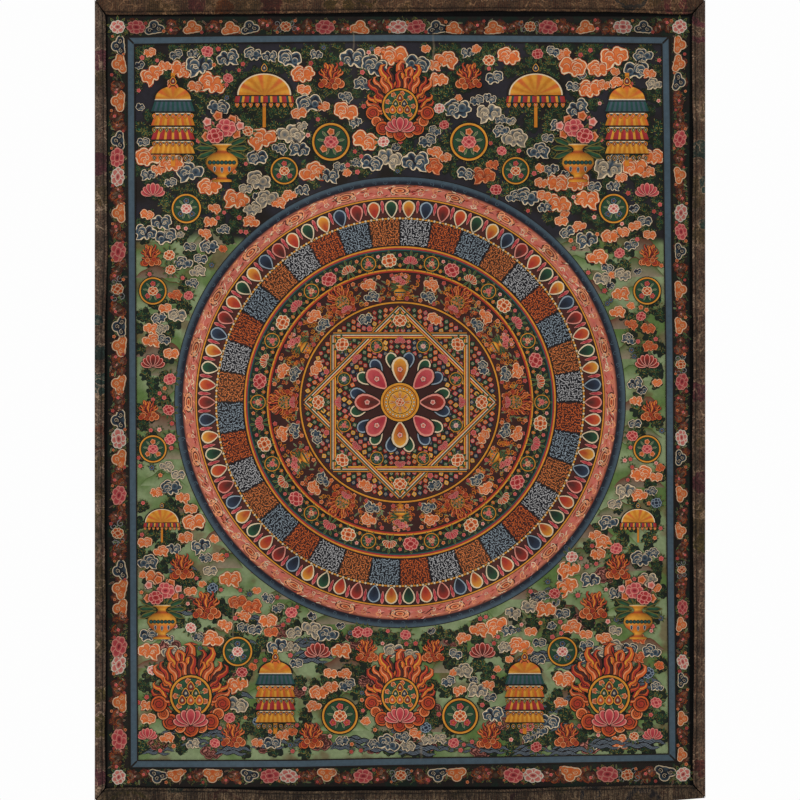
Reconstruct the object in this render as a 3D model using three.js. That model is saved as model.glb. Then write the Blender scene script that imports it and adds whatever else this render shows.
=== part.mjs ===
// A thangka scroll painting: one sheet of painted cotton with four folded brocade strips sewn
// over its margins and mitred at the corners.
// Units are millimetres. X is to the viewer's right, +Z is up and the painted face looks to -Y.
// The origin is the middle of the top edge, where the hanging is held.
import * as THREE from 'three';

// Outline. The lower edge is level except near its right corner, where it runs up a little.
const WIDTH = 548.5;
const HEIGHT = 720;
const CORNER_RISE = { width: 31, height: 2.6 };

// Sheet of painted cotton. Its edges end a little inside the strips' outer edges.
const CANVAS_THICK = 1.2;
const CANVAS_INSET = 0.9;
const CANVAS_COLUMNS = 22;
const CANVAS_ROWS = 28;

// Folded brocade strips. Each lies on the cotton with a small seam gap, and two strips that meet
// at a mitre each stay back from it, more so at the inner corner.
const SEAM_GAP = 0.35;
const STRIP_WIDTH = 12;
const STRIP_STEPS = 36;
const MITRE_GAP_OUTER = 0.3;
const MITRE_GAP_INNER = 1.0;

// How far the strips' inner folds lie from the outer edges at the corners of the window.
const WINDOW = {
  left_top: 9.9,
  left_bottom: 9.9,
  right_top: 12.1,
  right_bottom: 11.2,
  top_left: 14.4,
  top_right: 13.5,
  bottom_left: 11.7,
  bottom_right: 12.0,
};

// How far each inner fold bows outwards (+) or inwards (-) from a straight line: pairs of the
// share of the strip's length, clockwise round the frame, and the bow there.
const BOWS = {
  top: [[0, 0], [0.05, 0.4], [0.16, 0.8], [0.33, 1.5], [0.5, 2.7], [0.67, 3.4], [0.84, 2.4], [1, 0]],
  right: [[0, 0], [0.06, 0.4], [0.17, 1.2], [0.3, 0.2], [0.43, 1], [0.56, 0], [0.82, 1.5], [1, 0]],
  bottom: [[0, 0], [0.17, 1.3], [0.33, 3.6], [0.5, 4.1], [0.66, 4.4], [0.83, 1.4], [0.94, 0], [1, 0]],
  left: [[0, 0], [0.06, 0.9], [0.18, 0], [0.31, 0.9], [0.44, 1.3], [0.57, 0.9], [0.7, -1.3], [1, 0]],
};

// Section of a strip, counter-clockwise. A point is placed by its distance from the outer edge
// (edge) or back from the inner fold (fold), and by its height above the seam (up).
const STRIP_SECTION = [
  { edge: 0.5, up: 0.0 },
  { fold: 0.7, up: 0.0 },
  { fold: 0.2, up: 0.3 },
  { fold: 0.0, up: 1.0 },
  { fold: 0.4, up: 1.7 },
  { fold: 1.1, up: 2.1 },
  { fold: 1.8, up: 1.9 },
  { fold: 2.6, up: 1.3 },
  { fold: 3.4, up: 2.0 },
  { edge: 1.2, up: 1.9 },
  { edge: 0.3, up: 1.5 },
  { edge: 0.0, up: 0.7 },
];

// The hanging lies flat along its held top margin and billows more towards its free lower edge.
const HELD_MARGIN = 34;
const BILLOWS = [
  { depth: 1.5, wave_x: 610, wave_z: 430, phase: 3.1 },
  { depth: 0.9, wave_x: 260, wave_z: 900, phase: 0.8 },
];

const materials = {
  cotton: new THREE.MeshStandardMaterial({ color: 0x6d4e3b, roughness: 0.85, metalness: 0 }),
  brocade: new THREE.MeshStandardMaterial({ color: 0x45372a, roughness: 0.7, metalness: 0 }),
};

// Depth of the cloth's middle surface at a place on it: a sum of long waves, each growing from
// nothing at the held margin.
function billow(x, z) {
  const free = Math.max(0, -z - HELD_MARGIN) / (HEIGHT - HELD_MARGIN);
  const growth = free * free * (3 - 2 * free);
  return BILLOWS.reduce((sum, wave) => {
    const across = Math.cos((2 * Math.PI * x) / wave.wave_x + wave.phase);
    const down = Math.sin((2 * Math.PI * z) / wave.wave_z + wave.phase);
    return sum + wave.depth * growth * across * down;
  }, 0);
}

// Height of the outline's lower edge at x.
function lowerEdge(x) {
  const into = Math.max(0, x - WIDTH / 2 + CORNER_RISE.width) / CORNER_RISE.width;
  return CORNER_RISE.height * into - HEIGHT;
}

function lerp(a, b, t) {
  return a + (b - a) * t;
}

// A smooth value between the pairs of a table of bows.
function bowAt(table, t) {
  const next = Math.max(1, table.findIndex(([at]) => at >= t));
  const [[atA, bowA], [atB, bowB]] = [table[next - 1], table[next]];
  const u = (t - atA) / (atB - atA);
  return lerp(bowA, bowB, u * u * (3 - 2 * u));
}

function makeMesh(name, material, positions, triangles) {
  const geometry = new THREE.BufferGeometry();
  geometry.setAttribute('position', new THREE.Float32BufferAttribute(positions, 3));
  geometry.setIndex(triangles);
  geometry.computeVertexNormals();
  const mesh = new THREE.Mesh(geometry, material);
  mesh.name = name;
  return mesh;
}

// The cotton: a front and a back grid on the billowed surface, closed by a rim of quads.
function makeCanvas() {
  const positions = [];
  const triangles = [];
  const perRow = CANVAS_COLUMNS + 1;
  const half = WIDTH / 2 - CANVAS_INSET;
  for (const side of [-1, 1]) {
    for (let row = 0; row <= CANVAS_ROWS; row += 1) {
      for (let column = 0; column <= CANVAS_COLUMNS; column += 1) {
        const x = lerp(-half, half, column / CANVAS_COLUMNS);
        const z = lerp(-CANVAS_INSET, lowerEdge(x) + CANVAS_INSET, row / CANVAS_ROWS);
        positions.push(x, billow(x, z) + (side * CANVAS_THICK) / 2, z);
      }
    }
  }
  const backStart = perRow * (CANVAS_ROWS + 1);
  const quad = (a, b, c, d) => triangles.push(a, b, c, a, c, d);
  for (let row = 0; row < CANVAS_ROWS; row += 1) {
    for (let column = 0; column < CANVAS_COLUMNS; column += 1) {
      const a = row * perRow + column;
      quad(a, a + perRow, a + perRow + 1, a + 1);
      quad(backStart + a, backStart + a + 1, backStart + a + perRow + 1, backStart + a + perRow);
    }
  }
  for (let column = 0; column < CANVAS_COLUMNS; column += 1) {
    const low = CANVAS_ROWS * perRow + column;
    quad(column, column + 1, backStart + column + 1, backStart + column);
    quad(low, backStart + low, backStart + low + 1, low + 1);
  }
  for (let row = 0; row < CANVAS_ROWS; row += 1) {
    const left = row * perRow;
    const right = left + CANVAS_COLUMNS;
    quad(left, backStart + left, backStart + left + perRow, left + perRow);
    quad(right, right + perRow, backStart + right + perRow, backStart + right);
  }
  return makeMesh('painted_canvas', materials.cotton, positions, triangles);
}

// Corners of the outline and of the window that the strips leave open, as [x, z].
function corners() {
  const half = WIDTH / 2;
  return {
    outer: {
      top_left: [-half, 0],
      top_right: [half, 0],
      bottom_left: [-half, lowerEdge(-half)],
      bottom_right: [half, lowerEdge(half)],
    },
    inner: {
      top_left: [-half + WINDOW.left_top, -WINDOW.top_left],
      top_right: [half - WINDOW.right_top, -WINDOW.top_right],
      bottom_left: [-half + WINDOW.left_bottom, lowerEdge(-half) + WINDOW.bottom_left],
      bottom_right: [half - WINDOW.right_bottom, lowerEdge(half) + WINDOW.bottom_right],
    },
  };
}

// A strip: its section is carried from one mitre to the other. A point of the section lies on the
// line between the outer and the inner edge, and the inner edge follows the strip's bow.
function makeStrip(name, from, to, bows) {
  const { outer, inner } = corners();
  const positions = [];
  const triangles = [];
  const along = new THREE.Vector2(outer[to][0] - outer[from][0], outer[to][1] - outer[from][1]);
  along.normalize();
  const inwards = new THREE.Vector2(along.y, -along.x);
  const isLowest = from.startsWith('bottom') && to.startsWith('bottom');
  const count = STRIP_SECTION.length;
  for (let step = 0; step <= STRIP_STEPS; step += 1) {
    const t = step / STRIP_STEPS;
    const outerX = lerp(outer[from][0], outer[to][0], t);
    const outerZ = isLowest ? lowerEdge(outerX) : lerp(outer[from][1], outer[to][1], t);
    const bow = bowAt(bows, t);
    const innerX = lerp(inner[from][0], inner[to][0], t) - inwards.x * bow;
    const innerZ = lerp(inner[from][1], inner[to][1], t) - inwards.y * bow;
    const width = (innerX - outerX) * inwards.x + (innerZ - outerZ) * inwards.y;
    for (const point of STRIP_SECTION) {
      const share = point.fold === undefined ? point.edge / width : 1 - point.fold / width;
      const pull = lerp(MITRE_GAP_OUTER, MITRE_GAP_INNER, share) * (1 - 2 * t);
      const x = lerp(outerX, innerX, share) + along.x * pull;
      const z = lerp(outerZ, innerZ, share) + along.y * pull;
      positions.push(x, billow(x, z) - CANVAS_THICK / 2 - SEAM_GAP - point.up, z);
    }
  }
  for (let step = 0; step < STRIP_STEPS; step += 1) {
    for (let k = 0; k < count; k += 1) {
      const a = step * count + k;
      const b = step * count + ((k + 1) % count);
      triangles.push(b, a, a + count, b, a + count, b + count);
    }
  }
  const outline = STRIP_SECTION.map(
    ({ edge, fold, up }) => new THREE.Vector2(fold === undefined ? edge : STRIP_WIDTH - fold, up),
  );
  const last = STRIP_STEPS * count;
  for (const [a, b, c] of THREE.ShapeUtils.triangulateShape(outline, [])) {
    triangles.push(a, b, c);
    triangles.push(last + a, last + c, last + b);
  }
  return makeMesh(name, materials.brocade, positions, triangles);
}

const thangka = new THREE.Group();
thangka.add(makeCanvas());
thangka.add(makeStrip('brocade_top', 'top_left', 'top_right', BOWS.top));
thangka.add(makeStrip('brocade_right', 'top_right', 'bottom_right', BOWS.right));
thangka.add(makeStrip('brocade_bottom', 'bottom_right', 'bottom_left', BOWS.bottom));
thangka.add(makeStrip('brocade_left', 'bottom_left', 'top_left', BOWS.left));

export default thangka;
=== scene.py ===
import math
from collections import namedtuple

import bpy
import numpy as np
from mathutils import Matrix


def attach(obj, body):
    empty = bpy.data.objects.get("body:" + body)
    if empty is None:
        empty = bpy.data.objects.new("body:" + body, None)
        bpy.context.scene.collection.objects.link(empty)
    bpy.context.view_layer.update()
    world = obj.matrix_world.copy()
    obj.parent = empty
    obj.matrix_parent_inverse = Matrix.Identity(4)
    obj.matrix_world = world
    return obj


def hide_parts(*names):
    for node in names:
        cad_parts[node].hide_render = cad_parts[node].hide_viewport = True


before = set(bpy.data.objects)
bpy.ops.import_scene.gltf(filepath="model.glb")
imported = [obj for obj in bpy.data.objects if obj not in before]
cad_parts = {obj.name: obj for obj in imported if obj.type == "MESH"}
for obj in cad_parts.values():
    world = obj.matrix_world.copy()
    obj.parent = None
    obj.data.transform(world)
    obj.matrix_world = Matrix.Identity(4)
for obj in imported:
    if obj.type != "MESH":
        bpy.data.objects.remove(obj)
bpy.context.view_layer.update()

# Sizes are in millimetres here and become metres where a mesh is made.
MM = 0.001
WIDTH, HEIGHT = 548.5, 720
CORNER_RISE_WIDTH, CORNER_RISE = 31, 2.6
CANVAS_THICK, CANVAS_INSET = 1.2, 0.9
SEAM_GAP = 0.35
HELD_MARGIN = 34
TURN = 2 * np.pi

# The slate line between the field and its flowered border: the middle of each side as (x, z), clockwise
# from the top left corner. It wavers a little, as drawn by hand.
LINE_SIDES = (
    ((-241.9, -37.2), (-180, -36.3), (-90, -35.3), (0, -34.6), (90, -35.3), (180, -36), (238.6, -36.9)),
    (
        (238.6, -36.9), (240, -135), (240.8, -225), (242.1, -315),
        (242.6, -405), (243.1, -495), (244.2, -585), (244.8, -681.3),
    ),
    ((244.8, -681.3), (180, -682.4), (90, -684), (0, -685.2), (-90, -687), (-180, -687.1), (-239, -687.1)),
    (
        (-239, -687.1), (-239.6, -585), (-239.9, -495), (-240.2, -405),
        (-240.5, -315), (-241.1, -225), (-241.5, -135), (-241.9, -37.2),
    ),
)
LINE_WIDTH, LINE_EDGE = 5.3, 1.2
# The field's edges, and the height below which its bushes stand in groves.
FIELD = dict(left=-238, right=238, top=-40, bottom=-679)
HORIZON = -218
# The flowered border: the corners of its middle line, clockwise from the top left, how wide each side
# is where it starts and where it ends, and how much darker than its pigments it has become.
BORDER = ((-253.8, -24.6), (251.4, -24.5), (254.4, -696.4), (-252.8, -698.8))
BORDER_WIDE = ((16.8, 16.8), (16.4, 12.6), (18.8, 16.2), (19, 17.4))
BORDER_DIM = (0.49, 0.69, 0.6, 0.64)
# Where the dark margin beyond the border starts, painted nearly black both as the cloth's dark edge and as
# painted shade under the strips' folds: its left and right, and its foot and top.
MARGIN_X, MARGIN_Z = (-262.5, 259.9), (-707.2, -15.7)
# The medallion's middle and radius, and the middles of the rings that hold motifs.
MEDALLION = np.array([0.0, -362.0])
RADIUS = 203.0
RING = dict(scroll=190, petals=173.6, pearls=165.3, patchwork=152.5, garland=127.6, dark=103.5)

rng = np.random.default_rng(7)

# Pigments, as they look on the aged cloth.
PIGMENTS = dict(
    ink=(22, 19, 20), night=(34, 34, 44), ground=(30, 25, 25), navy=(24, 31, 46), indigo=(44, 60, 82),
    slate=(66, 84, 96), pale_blue=(142, 156, 166), cream=(226, 202, 166), peach=(230, 150, 102),
    orange=(210, 98, 44), rust=(168, 66, 34), red=(164, 46, 38), maroon=(78, 36, 33), plum=(50, 27, 27),
    ochre=(204, 124, 34), amber=(216, 120, 64), wine=(92, 46, 56), gold=(224, 156, 54), pink=(198, 82, 84),
    blush=(222, 142, 126), salmon=(200, 116, 92), rose=(168, 48, 60), sage=(150, 166, 122),
    meadow=(100, 128, 68), olive=(106, 98, 46), leaf=(38, 84, 56), pine=(22, 42, 35), teal=(30, 76, 72),
    brown=(96, 58, 40), dun=(150, 134, 112), fog=(184, 182, 182), white=(228, 216, 196),
)


def pigment(name, share=1.0):
    """A pigment's linear colour, times a share."""
    value = np.array(PIGMENTS[name]) / 255
    return np.where(value <= 0.04045, value / 12.92, ((value + 0.055) / 1.055) ** 2.4) * share


def pigments(names):
    """The colours of several pigments that one string names."""
    return [pigment(name) for name in names.split()]


def billow(x, z):
    """Depth of the cloth's middle surface in mm: two long waves that grow from the held margin.

    Each wave is a depth times a cosine across and a sine down, of its own lengths and phase.
    """
    free = np.maximum(0, -z - HELD_MARGIN) / (HEIGHT - HELD_MARGIN)
    growth = free * free * (3 - 2 * free)
    broad = 1.5 * np.cos(TURN * x / 610 + 3.1) * np.sin(TURN * z / 430 + 3.1)
    narrow = 0.9 * np.cos(TURN * x / 260 + 0.8) * np.sin(TURN * z / 900 + 0.8)
    return growth * (broad + narrow)


def lower_edge(x):
    """Height of the outline's lower edge: level, then running up a little to the right corner."""
    into = np.maximum(0, x - WIDTH / 2 + CORNER_RISE_WIDTH) / CORNER_RISE_WIDTH
    return CORNER_RISE * into - HEIGHT


def new_piece(name, points, faces, material, uv, colours=None):
    """A triangle mesh at the origin from points in mm, with a map and colours by corner."""
    mesh = bpy.data.meshes.new(name)
    mesh.vertices.add(len(points))
    mesh.vertices.foreach_set("co", (points * MM).astype(np.float32).ravel())
    mesh.loops.add(faces.size)
    mesh.loops.foreach_set("vertex_index", faces.astype(np.int32).ravel())
    mesh.polygons.add(len(faces))
    mesh.polygons.foreach_set("loop_start", np.arange(0, faces.size, 3, dtype=np.int32))
    mesh.polygons.foreach_set("loop_total", np.full(len(faces), 3, dtype=np.int32))
    mesh.uv_layers.new(name="OFBake").uv.foreach_set("vector", uv.astype(np.float32).ravel())
    if colours is not None:
        rgba = np.ones((faces.size, 4), dtype=np.float32)
        rgba[:, :3] = colours.reshape(-1, 3)
        paint = mesh.color_attributes.new("paint", "FLOAT_COLOR", "CORNER")
        paint.data.foreach_set("color", rgba.ravel())
    mesh.update(calc_edges=True)
    mesh.validate()
    mesh.materials.append(material)
    piece = bpy.data.objects.new(name, mesh)
    bpy.context.scene.collection.objects.link(piece)
    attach(piece, "root")
    return piece


# Shapes of paint. Each has flat points, faces, a colour for each corner of a face, a place on its
# map for each point, and how far each point rises from the shape's own level.

Shape = namedtuple("Shape", "points faces colours uv rise")
# How far each part of a shape lies over the part before it, in mm.
STEP = 0.012


def shape_of(points, faces, colours, rise=0.0):
    """A shape from lists of faces and colours, without the faces that have no width."""
    points, faces = np.asarray(points), np.concatenate(faces)
    b, c = points[faces[:, 1]] - points[faces[:, 0]], points[faces[:, 2]] - points[faces[:, 0]]
    wide = np.abs(b[:, 0] * c[:, 1] - b[:, 1] * c[:, 0]) > 1e-7
    uv = 0.06 + 0.88 * (points - points.min(0)) / np.ptp(points, axis=0).max()
    rise = np.broadcast_to(rise, len(points))
    return Shape(points, faces[wide], np.concatenate(colours)[wide], uv, rise)


def banded(rows, bands, heart=None):
    """A shape of rows of points, with a band of paint from each row to the next one.

    Closed rows run counter-clockwise round a heart, outermost first, and the last band ends in the
    heart. Open rows run so that the next one lies on their left. A band's two colours are those of
    its first and last row, and each may be one colour or one for each point.
    """
    count = len(rows[0])
    here = np.arange(count - (heart is None))
    after = (here + 1) % count
    points = np.concatenate([*rows] if heart is None else [*rows, np.array([heart])])
    faces, colours = [], []
    for k, (low, high) in enumerate(bands):
        a, b = k * count, (k + 1) * count
        low, high = np.broadcast_to(low, (count, 3)), np.broadcast_to(high, (count, 3))
        if k + 1 == len(rows):
            faces.append(np.stack([a + here, a + after, np.full(count, b)], 1))
            middle = np.broadcast_to(high.mean(0), (count, 3))
            colours.append(np.stack([low[here], low[after], middle], 1))
            continue
        faces.append(np.stack([a + here, a + after, b + after], 1))
        faces.append(np.stack([a + here, b + after, b + here], 1))
        colours.append(np.stack([low[here], low[after], high[after]], 1))
        colours.append(np.stack([low[here], high[after], high[here]], 1))
    return shape_of(points, faces, colours)


def ribbon(path, width, bands):
    """A line of paint along a path, with bands from its right to its left edge, each as a share of
    the width and a colour. The width may vary along the path."""
    ahead = np.gradient(path, axis=0)
    ahead /= np.linalg.norm(ahead, axis=1)[:, None]
    left = np.stack([-ahead[:, 1], ahead[:, 0]], 1) * np.reshape(width, (-1, 1)) / 2
    cuts = np.cumsum([0] + [share for share, _ in bands])
    cuts = cuts / cuts[-1]
    shape = banded([path + left * (2 * cut - 1) for cut in cuts], [(c, c) for _, c in bands])
    along = 0 * cuts[:, None] + np.linspace(0.06, 0.94, len(path))
    across = 0 * along + 0.06 + 0.88 * cuts[:, None]
    return shape._replace(uv=np.stack([along.ravel(), across.ravel()], 1))


def copied(shape, at, size=1.0, turn=0.0, flip=1.0):
    """Copies of a shape as one shape, each mirrored, sized, turned and put at its place.

    A tuple sizes it across and upwards, and an array has a size for each copy.
    """
    at = np.atleast_2d(np.asarray(at, float))
    count, corners = len(at), len(shape.points)
    pair = np.asarray(size, float)
    pair = pair[:, None] if pair.ndim == 1 and not isinstance(size, tuple) else pair
    size = np.broadcast_to(pair, (count, 2))
    turn = np.broadcast_to(turn, count)[:, None]
    flip = np.broadcast_to(flip, count).astype(float)
    x = shape.points[None, :, 0] * size[:, :1] * flip[:, None]
    z = shape.points[None, :, 1] * size[:, 1:]
    points = np.stack([x * np.cos(turn) - z * np.sin(turn), x * np.sin(turn) + z * np.cos(turn)], 2)
    faces = shape.faces[None] + (corners * np.arange(count))[:, None, None]
    colours = np.tile(shape.colours, (count, 1, 1, 1))
    faces[flip < 0] = faces[flip < 0][:, :, ::-1]
    colours[flip < 0] = colours[flip < 0][:, :, ::-1]
    points = (points + at[:, None]).reshape(-1, 2)
    uv, rise = np.tile(shape.uv, (count, 1)), np.tile(shape.rise, count)
    return Shape(points, faces.reshape(-1, 3), colours.reshape(-1, 3, 3), uv, rise)


def composed(*parts):
    """Shapes painted over one another as one shape. A part is a shape and how it is copied."""
    points, faces, colours, rise, count, level = [], [], [], [], 0, 0.0
    for shape, *how in parts:
        made = copied(shape, *how)
        points.append(made.points)
        faces.append(made.faces + count)
        colours.append(made.colours)
        rise.append(made.rise + level)
        count += len(made.points)
        level = rise[-1].max() + STEP
    return shape_of(np.concatenate(points), faces, colours, np.concatenate(rise))


class Film:
    """A film of paint on the cloth: shapes kept as arrays until they become one mesh.

    Where the film is planar its map is the film itself laid flat, and otherwise each shape has a
    cell of its own.
    """

    def __init__(self, planar):
        """An empty film. It counts its cells and its points as shapes are added."""
        self.planar, self.parts, self.cells, self.count = planar, [], 0, 0

    def add(self, shape, at, size=1.0, turn=0.0, flip=1.0, lift=0.0, tint=1.0):
        """Adds copies of a shape at places, each lifted off the cloth and its colours tinted."""
        made = copied(shape, at, size, turn, flip)
        copies = len(np.atleast_2d(at))
        cell = self.cells + np.repeat(np.arange(copies), len(shape.points))
        rise = made.rise + np.repeat(np.broadcast_to(lift, copies), len(shape.points))
        tint = np.repeat(np.broadcast_to(tint, copies), len(shape.faces))
        colours = made.colours * tint[:, None, None]
        self.parts.append((made.points, made.faces + self.count, colours, made.uv, rise, cell))
        self.cells += copies
        self.count += len(made.points)

    def build(self, name, material):
        """Makes the mesh: its shapes follow the cloth's billow, just in front of its face."""
        flat, faces, colours, uv, rise, cell = (np.concatenate(part) for part in zip(*self.parts))
        depth = billow(flat[:, 0], flat[:, 1]) - CANVAS_THICK / 2 - rise
        if self.planar:
            uv = (flat - flat.min(0)) / np.ptp(flat, axis=0)
        else:
            side = math.ceil(math.sqrt(self.cells))
            uv = (uv + np.stack([cell % side, cell // side], 1)) / side
        points = np.stack([flat[:, 0], depth, flat[:, 1]], 1)
        new_piece(name, points, faces, material, uv[faces], colours)


films = {}


def film(name, planar=False):
    """The film of this name, which begins when it is first asked for."""
    if name not in films:
        films[name] = Film(planar)
    return films[name]


def jitter(count, spread=0.1):
    """Brightness of each copy, as one stroke of a brush differs from the next."""
    return 1 + rng.uniform(-spread, spread, count)


def any_turn(count):
    """Angles at random."""
    return rng.uniform(0, TURN, count)


# Motifs. Each is drawn about (0, 0) with a radius of about 1 and its top towards +Z.

INK, CREAM, GOLD, OCHRE, PINE, LEAF = pigments("ink cream gold ochre pine leaf")


def turns(count):
    """Angles in equal steps round a whole turn."""
    return np.arange(count) * TURN / count


def circle(count, radius=1.0, at=(0, 0)):
    """Points at a radius round a place. The radius may be one for each point."""
    angles = turns(count)
    return np.stack([np.cos(angles), np.sin(angles)], 1) * np.reshape(radius, (-1, 1)) + at


def spokes(radius, angles):
    """Places at a radius and angles round (0, 0)."""
    angles = np.asarray(angles, float)
    return np.stack([np.cos(angles), np.sin(angles)], -1) * np.reshape(radius, (-1, 1))


def rings(radii, shades, count=24, heart=(0.0, 0.0)):
    """Rings of paint: each radius starts a band, and a shade is a colour or a pair of colours."""
    bands = [shade if isinstance(shade, tuple) else (shade, shade) for shade in shades]
    return banded([circle(count, radius) for radius in radii], bands, heart)


def lobed(lobes, inset, count):
    """Outline of a group of discs, each inset: along each ray the farthest way out of a disc."""
    angles = turns(count)[None]
    x, y, radius = np.array(lobes, float).T[:, :, None]
    radius = np.maximum(radius - inset, 0.01)
    along = x * np.cos(angles) + y * np.sin(angles)
    inside = radius**2 - (x**2 + y**2 - along**2)
    reach = np.where(inside > 0, along + np.sqrt(np.maximum(inside, 0)), 0).max(0)
    return circle(count, np.maximum(reach, 0.05 / (1 + inset)))


def cloud_lobes(seed, wide, high, count, tail=0):
    """Discs round an oval, the upper ones larger, with more discs that fill it, and maybe a tail."""
    draw = np.random.default_rng(seed)
    angles = turns(count) + draw.uniform(-0.2, 0.2, count)
    radius = draw.uniform(0.22, 0.32, count) * (1 + 0.25 * np.sin(angles))
    ring = np.stack([wide * np.cos(angles), high * np.sin(angles), radius], 1)
    core = [(-0.4 * wide, 0, high * 1.05), (0.4 * wide, 0, high * 1.05), (0, 0, high * 1.1)]
    core += [(0.3, -0.44, 0.2), (0.48, -0.58, 0.15)][:tail]
    return np.concatenate([ring, core])


def swelling(line, rim, body, deep, count=9):
    """One swelling of a cloud, lit from above: its line and its pale rim melt away towards its foot."""
    up = np.clip(np.sin(turns(count)) * 1.2 + 0.3, 0, 1)[:, None]
    shades = [body + (paint - body) * up for paint in (line, rim)]
    rows = [circle(count), circle(count, 0.86), circle(count, 0.62, (0, -0.05))]
    return banded(rows, [(shades[0], shades[0]), (shades[1], body), (body, deep)], (0, -0.3))


def curl(turning, colour, width=0.16, count=12):
    """A spiral line that tapers towards its heart."""
    share = np.linspace(0, 1, count)
    path = spokes(1 - 0.82 * share, TURN * turning * share)
    return ribbon(path, width * (1 - 0.6 * share), [(1, colour)])


def cloud(seed, names, wide=0.6, high=0.34, lobes=7, count=30, swells=4, curls=2):
    """A cloud of swellings inside a scalloped outline with an ink edge and a pale rim."""
    edge, rim, second, body, deep = pigments(names)
    discs = cloud_lobes(seed, wide, high, lobes, 2 * (seed % 2))
    rows = [lobed(discs, inset, count) for inset in (0, 0.035, 0.09, 0.2)]
    base = banded(rows, [(edge, edge), (rim, rim), (second, body), (body, deep)], (0, -0.1))
    parts = [(base, (0, 0))]
    draw = np.random.default_rng(seed + 50)
    inner = discs[draw.permutation(lobes)[:swells]]
    swell = swelling(edge, rim, second, body)
    for x, z, radius in inner[np.argsort(-inner[:, 1])]:
        parts.append((swell, (x * 0.6, z * 0.55 - 0.02), radius * 0.95))
    for x, z, radius in inner[:curls]:
        parts.append((curl(1.3, rim, 0.24, 9), (x * 0.5, z * 0.45 - 0.12), radius * 0.5, x * 9))
    return composed(*parts)


def peony(names, seed=0, lobes=8, count=22):
    """A peony: overlapping round petals with pale rims, and an oval ring with a deep heart."""
    rim, body, deep, _ = pigments(names)
    draw = np.random.default_rng(seed + 30)
    angles = turns(lobes) + draw.uniform(-0.1, 0.1, lobes) + seed
    size = draw.uniform(0.34, 0.42, lobes)
    places = spokes(0.6, angles) * (1, 0.84)
    discs = np.vstack([np.column_stack([places, size]), (0, 0, 0.5)])
    base = banded([lobed(discs, -0.05, count), lobed(discs, 0.1, count)], [(INK, INK), (deep, deep)], (0, 0))
    one = banded([circle(8), circle(8, 0.76, (0, -0.06))], [(rim, rim), (body, deep)], (0, -0.55))
    ring = rings((1, 0.8), (rim, (body, deep)), 12)
    dot = rings((1,), (deep * 0.6,), 6)
    parts = [(one, places[k::2], size[k::2], angles[k::2] - np.pi / 2) for k in range(2)]
    return composed((base, (0, 0)), *parts, (ring, (0, 0), (0.46, 0.36)), (dot, (0, 0), (0.2, 0.13)))


def trefoil(names, count=24):
    """A small cloud of three swellings on a level foot, each with a pale rim and a curl."""
    edge, rim, second, body, deep = pigments(names)
    discs = np.array([(0, 0.3, 0.5), (-0.5, -0.22, 0.46), (0.5, -0.22, 0.46), (0, -0.24, 0.44)])
    rows = [lobed(discs, inset, count) for inset in (0, 0.03, 0.11)]
    base = banded(rows, [(edge, edge), (rim, rim), (second, deep)], (0, 0))
    spots = discs[[1, 2, 0], :2] * 0.86
    return composed(
        (base, (0, 0)),
        (swelling(body, second, body, deep), spots, 0.34),
        (curl(1.3, rim, 0.22, 9), spots, 0.23, (0, 2, 4)),
    )


def bud(names, count=10):
    """A small flower of five petals, with a paler edge."""
    rim, body, deep, heart = pigments(names)
    outline = circle(count, 0.88 + 0.12 * np.cos(turns(count) * 5))
    rows = [outline * share for share in (1, 0.86, 0.6, 0.26)]
    soft = (rim + 2 * body) / 3
    return banded(rows, [(INK, INK), (soft, soft), (body, deep), ((heart + deep) / 2, deep)], (0, 0))


def pointed(count, width, sharp=0.75, fullness=0.3):
    """Outline of a petal or leaf from (0, -1) to (0, 1): pulled to a point at both ends."""
    angles = turns(count) - np.pi / 2
    high, wide = np.sin(angles), np.cos(angles)
    bulge = np.abs(wide) ** (1 / sharp) * (1 - (fullness - 0.5) * high)
    return np.stack([np.sign(wide) * bulge * width, high], 1)


def petal(names, width=0.5, fullness=0.1, count=16):
    """A pointed petal: ink edge, pale rim, and a body that deepens towards its foot."""
    rim, body, deep = pigments(names)
    outline = pointed(count, width, 0.8, fullness)
    up = (outline[:, 1:] + 1) / 2
    shade = body * up + deep * (1 - up)
    rows = [outline, outline * (0.86, 0.92), outline * (0.66, 0.8)]
    return banded(rows, [(INK, INK), (rim, rim), (shade, deep)], (0, -0.1))


def leaf(edge, body, dark, count=6):
    """A leaf with a thin light edge, and one half of it darker than the other."""
    outline = pointed(count, 0.3)
    side = np.where(outline[:, :1] < -0.02, 1.0, 0.0)
    shade = body * side + dark * (1 - side)
    return banded([outline, outline * (0.66, 0.84)], [(edge, edge), (shade, body)], (0, 0.1))


def fan(shape, count, spread, reach, size):
    """Parts for a fan of copies round (0, 0), each on its own level."""
    for angle in np.linspace(-spread / 2, spread / 2, count):
        yield (shape, (-reach * math.sin(angle), reach * math.cos(angle)), size, angle)


def tuft(colours, blades, spread):
    """A tuft of thin blades that fan out."""
    angles = np.linspace(-spread / 2, spread / 2, blades)
    blade = np.array([(0.0, 0.16), (0.1, 0.6), (0.0, 1.0), (-0.1, 0.6)])
    parts = []
    for angle, colour in zip(angles, colours * blades):
        faces = [np.array([(0, 1, 2), (0, 2, 3)])]
        parts.append((shape_of(blade, faces, [np.broadcast_to(colour, (2, 3, 3))]), (0, 0), 1.0, angle))
    made = composed(*parts)
    return made._replace(rise=0 * made.rise)


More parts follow.
